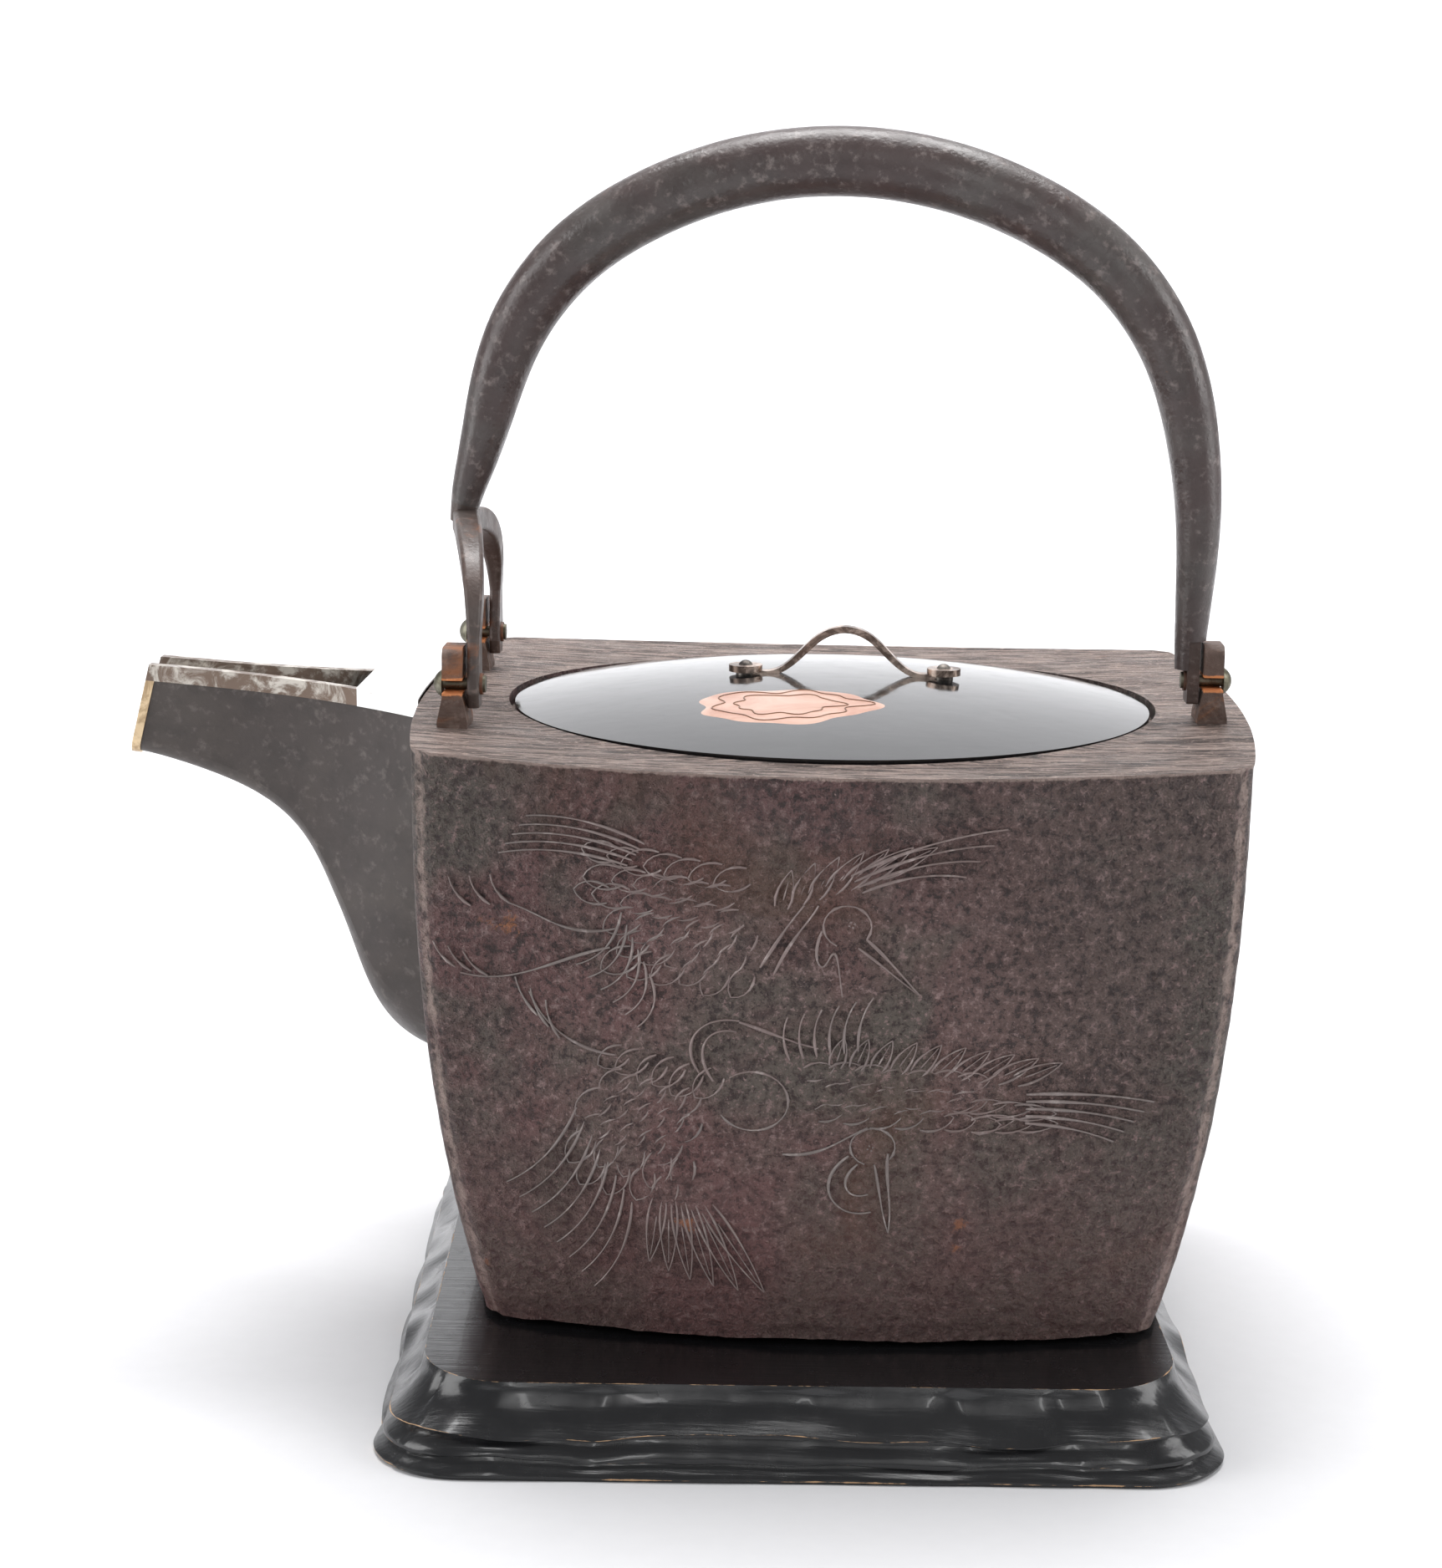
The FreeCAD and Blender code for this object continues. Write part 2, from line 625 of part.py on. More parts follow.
def handle_end_tab(hoop):
    """Flat tongue at the hoop's right end that lies against the right lug."""
    outer_face = blade_outer_face(right_lug_x)
    inner_face = outer_face - tab_thickness
    half = tab_width / 2
    top = top_z + lug_height + scarf_rise + 2.0
    blade = box_between((inner_face, right_lug_y - half, top_z + foot_bottom),
                        (outer_face, right_lug_y + half, top))
    lower = [e for e in blade.Edges if e.BoundBox.ZMax < top_z + foot_bottom + 0.01
             and e.BoundBox.XLength > tab_thickness / 2]
    blade = blade.makeFillet(0.4, lower)
    upright_low = [e for e in blade.Edges if e.BoundBox.YLength > half and e.BoundBox.ZMin > top - 0.01]
    blade = blade.makeFillet(0.5, upright_low)
    blade = blade.cut(hoop)
    return one_solid(blade.cut(pin_hole(right_lug_x, right_lug_y)))


def pin_and_washer(lug_x, lug_y, blade_thickness):
    """Rivet-like pin through a lug and the handle's foot, with its washer on the inside."""
    outward = math.copysign(1.0, lug_x)
    head_face = lug_x + outward * (lug_half_width(pin_height - pin_head_radius) + side_clearance)
    blade_inner = blade_outer_face(lug_x) - outward * blade_thickness
    washer_inner = blade_inner - outward * washer_thickness
    tail = washer_inner - outward * clinch_height
    axis = Vec(outward, 0, 0)
    shank = cylinder(pin_radius, abs(head_face - tail), Vec(tail, lug_y, pin_z), axis)
    ball = (pin_head_radius ** 2 + pin_head_height ** 2) / (2 * pin_head_height)
    centre = Vec(head_face + outward * (pin_head_height - ball), lug_y, pin_z)
    keep = cylinder(pin_head_radius, pin_head_height, Vec(head_face, lug_y, pin_z), axis)
    head = Part.makeSphere(ball, centre).common(keep)
    clinch = cylinder(pin_radius + clinch_spread, clinch_height, Vec(tail, lug_y, pin_z), axis)
    pin = shank.fuse(head).fuse(clinch)
    washer = cylinder(washer_radius, washer_thickness, Vec(washer_inner, lug_y, pin_z), axis)
    washer = washer.cut(pin)
    return one_solid(pin), one_solid(washer)


# ---- lid --------------------------------------------------------------------------------------

def cap_radius(radius, rise):
    """Radius of the ball whose cap has this rim radius and rise."""
    return (radius ** 2 + rise ** 2) / (2 * rise)


def cap_z(radius, rise, base_z, out):
    """Height of a cap's surface at a distance out from its middle."""
    ball = cap_radius(radius, rise)
    return base_z + rise - ball + math.sqrt(ball ** 2 - out ** 2)


def cap(radius, rise, base_z):
    """Solid cap that stands on base_z."""
    ball = cap_radius(radius, rise)
    keep = cylinder(radius, rise + 1, Vec(0, 0, base_z), Vec(0, 0, 1))
    return Part.makeSphere(ball, Vec(0, 0, base_z + rise - ball)).common(keep)


def lid_top_z(out):
    return cap_z(lid_radius, lid_rise, ledge_z + lid_edge, out)


def lid_under_z(out):
    return cap_z(ring_radius, hollow_rise, ledge_z, out)


def lid_disc(fittings):
    rim = cylinder(lid_radius, lid_edge, Vec(0, 0, ledge_z), Vec(0, 0, 1))
    lid = rim.fuse(cap(lid_radius, lid_rise, ledge_z + lid_edge))
    lid = lid.cut(cap(ring_radius, hollow_rise, ledge_z))
    for fitting in fittings:
        lid = lid.cut(fitting)
    return one_solid(lid)


def lid_ring(disc):
    """Locating ring under the lid, inside the ledge bore."""
    up = Vec(0, 0, 1)
    bottom = ledge_z - ring_height
    top = lid_under_z(ring_radius - ring_wall)
    ring = cylinder(ring_radius, top - bottom, Vec(0, 0, bottom), up)
    ring = ring.cut(cylinder(ring_radius - ring_wall, 2 * ring_height, Vec(0, 0, bottom - 1), up))
    return one_solid(ring.cut(disc))


def rivet_places():
    half = bail_rivet_spacing / 2
    return [bail_shift - half, bail_shift + half]


def bail():
    """Half-hoop strap with two round feet that lie on the lid."""
    foot_z = max(lid_top_z(abs(x)) for x in rivet_places()) + rosette_thickness
    half_span = bail_arch_span / 2

    def strap_line(sink, narrow):
        """Curve over the arch, sunk and narrowed by the strap's thickness on its inner side."""
        first, last = rivet_places()
        half = [(half_span + bail_arch_splay, bail_foot_thickness + 0.35 - sink),
                (half_span - 1.2 - narrow, bail_arch_height * 0.42 - sink * 0.5),
                (half_span * 0.45 - narrow * 0.5, bail_arch_height * 0.86 - sink * 0.95)]
        points = [Vec(first, 0, foot_z + bail_foot_thickness - sink)]
        points += [Vec(bail_shift - out, 0, foot_z + up) for out, up in half]
        points.append(Vec(bail_shift, 0, foot_z + bail_arch_height - sink))
        points += [Vec(bail_shift + out, 0, foot_z + up) for out, up in reversed(half)]
        points.append(Vec(last, 0, foot_z + bail_foot_thickness - sink))
        curve = Part.BSplineCurve()
        curve.interpolate(points)
        return curve.toShape(), points[0], points[-1]

    outer, outer_first, outer_last = strap_line(0.0, 0.0)
    inner, inner_first, inner_last = strap_line(bail_foot_thickness, bail_strap * 0.8)
    profile = Part.Wire([outer, line_edge(outer_last, inner_last), inner,
                         line_edge(inner_first, outer_first)])
    strap = Part.Face(profile).extrude(Vec(0, bail_strap_width, 0))
    strap.translate(Vec(0, -bail_strap_width / 2, 0))
    for x in rivet_places():
        strap = strap.fuse(cylinder(bail_foot_length / 2, bail_foot_thickness, Vec(x, 0, foot_z),
                                    Vec(0, 0, 1)))
    for x in rivet_places():
        strap = strap.cut(cylinder(rivet_radius, far, Vec(x, 0, foot_z - far / 2), Vec(0, 0, 1)))
    return one_solid(strap), foot_z


def lid_fasteners(foot_z):
    """Rosettes, rivets and burr washers of the bail, each pair as two solids of one node."""
    up = Vec(0, 0, 1)
    rosettes, rivets, burrs = [], [], []
    head_z = foot_z + bail_foot_thickness
    ball = cap_radius(rivet_head_radius, rivet_head_height)
    for x in rivet_places():
        under_z = lid_under_z(abs(x))
        tail_z = under_z - rivet_burr_thickness - rivet_tail
        shank = cylinder(rivet_radius, head_z - tail_z, Vec(x, 0, tail_z), up)
        keep = cylinder(rivet_head_radius, rivet_head_height, Vec(x, 0, head_z), up)
        head = Part.makeSphere(ball, Vec(x, 0, head_z + rivet_head_height - ball)).common(keep)
        rivets.append(shank.fuse(head))
        seat_z = lid_top_z(abs(x)) - fitting_seat
        rosettes.append(cylinder(rosette_radius, foot_z - seat_z, Vec(x, 0, seat_z), up))
        burrs.append(cylinder(rivet_burr_radius, rivet_burr_thickness + fitting_seat,
                              Vec(x, 0, under_z - rivet_burr_thickness), up))
    return rosettes, rivets, burrs


# ---- stand ------------------------------------------------------------------------------------

def stand_outline(inset, z):
    """Outline of the stand at height z: straight sides and softly cut corners."""
    half_x = stand_width / 2 + stand_flare - inset
    half_y = stand_depth / 2 + stand_flare - inset
    cut = stand_corner
    edges = []
    marks = [((1, -1), (0, 1)), ((1, 1), (-1, 0)), ((-1, 1), (0, -1)), ((-1, -1), (1, 0))]
    corners = []
    for (a, b), _ in marks:
        before = Vec(a * half_x, b * (half_y - cut), z)
        after = Vec(a * (half_x - cut), b * half_y, z)
        middle = Vec(a * (half_x - cut * 0.34), b * (half_y - cut * 0.34), z)
        order = (after, middle, before) if a * b < 0 else (before, middle, after)
        corners.append(order)
    for index, (first, middle, last) in enumerate(corners):
        edges.append(arc_edge(first, middle, last))
        edges.append(line_edge(last, corners[(index + 1) % 4][0]))
    return Part.Wire(edges)


def stand():
    levels = [(0.8, 0.0), (0.0, 1.2), (0.0, stand_plinth), (stand_flare * 0.45, stand_height * 0.55),
              (stand_flare * 0.8, stand_height * 0.75), (stand_flare, stand_height)]
    wires = [stand_outline(inset, z) for inset, z in levels]
    board = Part.makeLoft(wires, True, True)
    board.rotate(Vec(0, 0, 0), Vec(0, 0, 1), stand_yaw)
    return board


# ---- everything -------------------------------------------------------------------------------

def build():
    nodes = {}
    outer = pot_outer()
    places = {"front_left": (front_lug_x, front_lug_y), "rear_left": (rear_lug_x, rear_lug_y),
              "right": (right_lug_x, right_lug_y)}
    lugs = {name: lug(x, y) for name, (x, y) in places.items()}
    nodes["pot_body"] = pot_body(outer, list(lugs.values()))
    for name, shape in lugs.items():
        nodes["lug_" + name] = shape
    nodes.update(spout_parts(outer))
    hoop = handle_hoop()
    nodes["handle_hoop"] = hoop
    nodes["handle_fork"] = handle_fork(hoop)
    nodes["handle_end_tab"] = handle_end_tab(hoop)
    for name, (x, y) in places.items():
        thickness = tab_thickness if name == "right" else foot_thickness
        pin, washer = pin_and_washer(x, y, thickness)
        nodes["handle_pin_" + name] = pin
        nodes["pin_washer_" + name] = washer
    strap, foot_z = bail()
    rosettes, rivets, burrs = lid_fasteners(foot_z)
    disc = lid_disc(rivets + rosettes + burrs)
    nodes["lid_disc"] = disc
    nodes["lid_locating_ring"] = lid_ring(disc)
    nodes["lid_bail"] = one_solid(strap.cut(disc).cut(rosettes[0]).cut(rosettes[1]))
    nodes["lid_rivets"] = Part.makeCompound(rivets)
    nodes["lid_rosettes"] = Part.makeCompound([a.cut(b) for a, b in zip(rosettes, rivets)])
    nodes["lid_burr_washers"] = Part.makeCompound([a.cut(b) for a, b in zip(burrs, rivets)])
    for name, shape in nodes.items():
        if name.startswith("lid_"):
            shape.translate(Vec(0, mouth_shift_y, 0))
    for shape in nodes.values():
        shape.translate(Vec(pot_offset_x, pot_offset_y, 0))
    nodes["stand"] = stand()
    return nodes


os.makedirs("parts", exist_ok=True)
for node, shape in build().items():
    shape.exportStep("parts/" + node + ".step")
    box = shape.BoundBox
    print(node, len(shape.Solids), shape.isValid(), round(shape.Volume, 1),
          [round(v, 1) for v in (box.XMin, box.YMin, box.ZMin, box.XMax, box.YMax, box.ZMax)])
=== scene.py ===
"""Visual model of a square cast iron pouring kettle on a carved, lacquered wooden stand."""

import logging
import math
import random
from dataclasses import dataclass, field
from enum import Enum
from functools import cache
from typing import Callable, Iterable, Sequence

import bmesh
import bpy
from mathutils import Matrix, Vector, noise
from mathutils.geometry import interpolate_bezier


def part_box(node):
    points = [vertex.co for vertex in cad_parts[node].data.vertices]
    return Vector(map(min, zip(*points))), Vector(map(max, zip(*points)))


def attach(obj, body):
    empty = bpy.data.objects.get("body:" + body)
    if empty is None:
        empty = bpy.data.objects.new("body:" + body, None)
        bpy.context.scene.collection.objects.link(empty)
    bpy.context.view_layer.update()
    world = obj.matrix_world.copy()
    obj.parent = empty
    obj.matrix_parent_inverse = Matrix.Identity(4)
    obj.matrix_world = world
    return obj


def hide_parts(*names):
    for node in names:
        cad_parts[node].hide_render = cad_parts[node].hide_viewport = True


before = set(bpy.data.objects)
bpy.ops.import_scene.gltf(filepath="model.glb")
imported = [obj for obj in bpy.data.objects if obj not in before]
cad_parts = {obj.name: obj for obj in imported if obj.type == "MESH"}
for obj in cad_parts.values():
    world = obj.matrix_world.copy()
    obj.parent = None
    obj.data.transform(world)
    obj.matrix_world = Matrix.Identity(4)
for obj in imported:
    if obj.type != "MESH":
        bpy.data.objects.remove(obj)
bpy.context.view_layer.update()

MM = 0.001
LOG = logging.getLogger("kettle")
Colour = tuple[float, float, float]
Flat = tuple[float, float]
Spot = tuple[float, float, float, float]


@cache
def pot_middle() -> Vector:
    """The point on the table under the middle of the pot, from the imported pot."""
    low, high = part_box("pot_body")
    return Vector(((low.x + high.x) / 2, (low.y + high.y) / 2, 0.0))


def soft_step(low: float, high: float, value: float) -> float:
    """Smooth rise from 0 to 1.

    Args:
        low: value at and below which the result is 0.
        high: value at and above which the result is 1.
        value: where to read it.

    Returns:
        A number from 0 to 1.
    """
    share = min(max((value - low) / (high - low), 0.0), 1.0)
    return share * share * (3.0 - 2.0 * share)


def shade(colour: Colour, share: float) -> Colour:
    """A colour made darker or lighter."""
    return tuple(share * part for part in colour)


def rounded_square(u: float, v: float, reach_x: float, reach_y: float, radius: float) -> Flat:
    """Place of a point of the unit square in a rectangle with round corners.

    Args:
        u: -1 to 1 across X.
        v: -1 to 1 across Y.
        reach_x: half width at this v.
        reach_y: half depth at this u.
        radius: of the corners.

    Returns:
        x and y.
    """
    a, b = reach_x * (1 - abs(u)), reach_y * (1 - abs(v))
    if a < radius and b < radius:
        da, db = a - radius, b - radius
        stretch = max(abs(da), abs(db)) / max(math.hypot(da, db), 1e-9)
        a, b = radius + da * stretch, radius + db * stretch
    return math.copysign(reach_x - a, u), math.copysign(reach_y - b, v)


def in_spots(spots: Iterable[Spot], x: float, z: float, full: float, none: float) -> float:
    """How far a place on the front face lies inside the nearest of some oval spots.

    Args:
        spots: middle and reach of each spot, in x and in height.
        x: where to look, across.
        z: where to look, upwards.
        full: share of a spot's reach up to which the result is 1.
        none: share of a spot's reach from which it is 0.

    Returns:
        A number from 0 to 1.
    """
    away = (math.hypot((x - mid_x) / reach_x, (z - mid_z) / reach_z)
            for mid_x, mid_z, reach_x, reach_z in spots)
    return 1.0 - soft_step(full, none, min(away))


def meshed(curve: bpy.types.Curve) -> bmesh.types.BMesh:
    """Turns a thick curve into a mesh and removes the curve.

    Args:
        curve: the curve, with its thickness.

    Returns:
        The mesh, for the caller to free.
    """
    holder = bpy.data.objects.new(curve.name, curve)
    mesh = bpy.data.meshes.new_from_object(holder)
    bpy.data.objects.remove(holder)
    bpy.data.curves.remove(curve)
    bm = bmesh.new()
    bm.from_mesh(mesh)
    bpy.data.meshes.remove(mesh)
    return bm


# ---- shaders -----------------------------------------------------------------------------------


class Bench:
    """One material's node tree, with short calls for the nodes that the finishes share."""

    def __init__(self, name: str) -> None:
        """Starts a material with a Principled shader.

        Args:
            name: the material's name.
        """
        self.material = bpy.data.materials.new(name)
        self.material.use_nodes = True
        self.tree = self.material.node_tree
        self.shader = self.tree.nodes["Principled BSDF"]
        self.position = self.tree.nodes.new("ShaderNodeTexCoord").outputs["Object"]

    def link(self, source: bpy.types.NodeSocket, target: bpy.types.NodeSocket) -> None:
        """Joins two sockets."""
        self.tree.links.new(source, target)

    def scaled(self, scale: Sequence[float]) -> bpy.types.NodeSocket:
        """Object coordinates, stretched.

        Args:
            scale: factor along each axis.

        Returns:
            The vector socket.
        """
        node = self.tree.nodes.new("ShaderNodeMapping")
        node.inputs["Scale"].default_value = scale
        self.link(self.position, node.inputs["Vector"])
        return node.outputs["Vector"]

    def clouds(self, scale: float, detail: float = 4.0, rough: float = 0.55,
               where: bpy.types.NodeSocket | None = None, warp: float = 0.0) -> bpy.types.NodeSocket:
        """Cloudy noise from 0 to 1.

        Args:
            scale: waves per metre.
            detail: number of octaves.
            rough: weight of the finer octaves.
            where: coordinates to read, or None for the object's own.
            warp: how much the pattern is stirred.

        Returns:
            The value socket.
        """
        node = self.tree.nodes.new("ShaderNodeTexNoise")
        node.inputs["Scale"].default_value = scale
        node.inputs["Detail"].default_value = detail
        node.inputs["Roughness"].default_value = rough
        node.inputs["Distortion"].default_value = warp
        self.link(where or self.position, node.inputs["Vector"])
        return node.outputs["Fac"]

    def grains(self, scale: float) -> bpy.types.NodeSocket:
        """Distance to scattered points, for sand grains and pits.

        Args:
            scale: grains per metre.

        Returns:
            The value socket.
        """
        node = self.tree.nodes.new("ShaderNodeTexVoronoi")
        node.inputs["Scale"].default_value = scale
        self.link(self.position, node.inputs["Vector"])
        return node.outputs["Distance"]

    def limits(self, value: bpy.types.NodeSocket, low: float, high: float,
               out_low: float = 0.0, out_high: float = 1.0) -> bpy.types.NodeSocket:
        """Value stretched from one range to another, clamped.

        Args:
            value: what is stretched.
            low: value that gives out_low.
            high: value that gives out_high.
            out_low: result at low.
            out_high: result at high.

        Returns:
            The value socket.
        """
        node = self.tree.nodes.new("ShaderNodeMapRange")
        node.interpolation_type = "SMOOTHSTEP"
        numbers = {"From Min": low, "From Max": high, "To Min": out_low, "To Max": out_high}
        for name, number in numbers.items():
            node.inputs[name].default_value = number
        self.link(value, node.inputs["Value"])
        return node.outputs["Result"]

    def reckon(self, operation: str, first: bpy.types.NodeSocket | float,
               second: bpy.types.NodeSocket | float) -> bpy.types.NodeSocket:
        """Two values through a Math node.

        Args:
            operation: the Math node's operation.
            first: a socket or a number.
            second: a socket or a number.

        Returns:
            The value socket.
        """
        node = self.tree.nodes.new("ShaderNodeMath")
        node.operation = operation
        for index, item in enumerate((first, second)):
            if isinstance(item, (int, float)):
                node.inputs[index].default_value = item
            else:
                self.link(item, node.inputs[index])
        return node.outputs[0]

    def plus(self, first: bpy.types.NodeSocket | float,
             second: bpy.types.NodeSocket | float) -> bpy.types.NodeSocket:
        """The sum of two values."""
        return self.reckon("ADD", first, second)

    def minus(self, first: bpy.types.NodeSocket | float,
              second: bpy.types.NodeSocket | float) -> bpy.types.NodeSocket:
        """The first value less the second."""
        return self.reckon("SUBTRACT", first, second)

    def times(self, first: bpy.types.NodeSocket | float,
              second: bpy.types.NodeSocket | float) -> bpy.types.NodeSocket:
        """The product of two values."""
        return self.reckon("MULTIPLY", first, second)

    def blend(self, share: bpy.types.NodeSocket | float, first: bpy.types.NodeSocket | Colour,
              second: bpy.types.NodeSocket | Colour) -> bpy.types.NodeSocket:
        """Two colours mixed.

        Args:
            share: weight of the second colour.
            first: a socket or a colour.
            second: a socket or a colour.

        Returns:
            The colour socket.
        """
        node = self.tree.nodes.new("ShaderNodeMix")
        node.data_type = "RGBA"
        for item, socket in ((first, node.inputs[6]), (second, node.inputs[7])):
            if isinstance(item, tuple):
                socket.default_value = (*item, 1.0)
            else:
                self.link(item, socket)
        if isinstance(share, (int, float)):
            node.inputs[0].default_value = share
        else:
            self.link(share, node.inputs[0])
        return node.outputs[2]

    def attribute(self, name: str) -> bpy.types.NodeSocket:
        """A value painted on the mesh.

        Args:
            name: the attribute's name.

        Returns:
            The value socket.
        """
        node = self.tree.nodes.new("ShaderNodeAttribute")
        node.attribute_name = name
        return node.outputs["Fac"]

    def axis(self, name: str) -> bpy.types.NodeSocket:
        """One of the object coordinates.

        Args:
            name: X, Y or Z.

        Returns:
            The value socket, in metres.
        """
        node = self.tree.nodes.new("ShaderNodeSeparateXYZ")
        self.link(self.position, node.inputs[0])
        return node.outputs[name]

    def facing_up(self) -> bpy.types.NodeSocket:
        """How much the surface faces up.

        Returns:
            The value socket, from -1 to 1.
        """
        geometry = self.tree.nodes.new("ShaderNodeNewGeometry")
        split = self.tree.nodes.new("ShaderNodeSeparateXYZ")
        self.link(geometry.outputs["Normal"], split.inputs[0])
        return split.outputs["Z"]

    def bumps(self, layers: Iterable[tuple[bpy.types.NodeSocket, float]]) -> None:
        """Stacks bump layers on the shader's normal.

        Args:
            layers: each height socket with the height in metres that it stands for.
        """
        normal = None
        for height, depth in layers:
            node = self.tree.nodes.new("ShaderNodeBump")
            node.inputs["Strength"].default_value = 1.0
            node.inputs["Distance"].default_value = depth
            self.link(height, node.inputs["Height"])
            if normal is not None:
                self.link(normal, node.inputs["Normal"])
            normal = node.outputs["Normal"]
        if normal is not None:
            self.link(normal, self.shader.inputs["Normal"])

    def colour(self, socket: bpy.types.NodeSocket) -> None:
        """Gives the shader its colour."""
        self.link(socket, self.shader.inputs["Base Color"])

    def roughness(self, socket: bpy.types.NodeSocket) -> None:
        """Gives the shader its roughness."""
        self.link(socket, self.shader.inputs["Roughness"])

    def set(self, **numbers: float) -> None:
        """Sets plain numbers on the shader's own sockets, with _ for a space in the name."""
        for name, number in numbers.items():
            self.shader.inputs[name.replace("_", " ")].default_value = number


class Grain(Enum):
    """How an iron surface is worked."""

    SAND = "sand cast, pitted"
    SMOOTH = "smooth casting"
    FORGED = "hammered and waxed"


@dataclass(frozen=True)
class IronFinish:
    """Old iron: two ground tones in patches, pits, worn high spots and rust."""

    name: str
    ground: Colour
    patch: Colour
    worn: Colour
    rust: Colour
    rust_share: float
    roughness: float
    grain: Grain
    relief: float = 1.0
    specular: float = 0.5
    # height of a band of rust painted brighter, as light in the lugs' slots; below zero for none
    painted_lit_rust_at: float = -1.0

    def make(self) -> bpy.types.Material:
        """Builds the material.

        Returns:
            The material.
        """
        bench = Bench(self.name)
        tone = bench.limits(bench.clouds(28.0, 5.0, 0.6, warp=0.4), 0.42, 0.62)
        colour = bench.blend(tone, self.ground, self.patch)
        fine = bench.clouds(420.0, 4.0, 0.65)
        mottled = bench.limits(bench.clouds(140.0, 5.0, 0.7), 0.40, 0.72, 0.0, 0.55)
        colour = bench.blend(mottled, colour, shade(self.ground, 0.55))
        high = bench.limits(fine, 0.52, 0.74, 0.0, 0.75)
        colour = bench.blend(high, colour, self.worn)
        spots = bench.limits(bench.clouds(60.0, 7.0, 0.72, warp=0.8), 0.72 - 0.22 * self.rust_share,
                             0.84 - 0.18 * self.rust_share)
        colour = bench.blend(bench.times(spots, 0.85), colour, self.rust)
        # a band of rust at the pins' height, coloured brighter than the lug's other rust as painted light for
        # the shaded slots
        if self.painted_lit_rust_at > 0.0:
            away = bench.reckon("ABSOLUTE", bench.minus(bench.axis("Z"), self.painted_lit_rust_at), 0.0)
            band = bench.plus(bench.limits(away, 0.9 * MM, 2.4 * MM, 1.0, 0.0), bench.minus(fine, 0.5))
            colour = bench.blend(bench.limits(band, 0.4, 0.7, 0.0, 0.95), colour, shade(self.rust, 2.3))
        layers = self._layers(bench, fine)
        bench.colour(colour)
        bench.roughness(bench.limits(bench.clouds(90.0, 4.0, 0.6), 0.3, 0.7,
                                     self.roughness - 0.08, self.roughness + 0.12))
        bench.set(Metallic=0.0, Specular_IOR_Level=self.specular)
        bench.bumps(layers)
        return bench.material

    def _layers(self, bench: Bench, fine: bpy.types.NodeSocket) -> list[tuple[bpy.types.NodeSocket, float]]:
        """Bump layers for this grain.

        Args:
            bench: the material in the making.
            fine: the fine noise that also drives the worn spots.

        Returns:
            Height sockets with their heights in metres.
        """
        size = self.relief * MM
        if self.grain is Grain.SAND:
            coarse = bench.clouds(170.0, 3.0, 0.6, warp=0.6)
            pits = bench.limits(bench.grains(330.0), 0.0, 0.55)
            return [(coarse, 0.9 * size), (pits, 0.28 * size), (fine, 0.5 * size)]
        if self.grain is Grain.FORGED:
            dents = bench.clouds(85.0, 2.0, 0.5)
            specks = bench.limits(bench.grains(800.0), 0.0, 0.5)
            return [(dents, 0.9 * size), (fine, 0.30 * size), (specks, 0.06 * size)]
        return [(bench.clouds(60.0, 3.0, 0.5), 0.5 * size), (fine, 0.22 * size)]


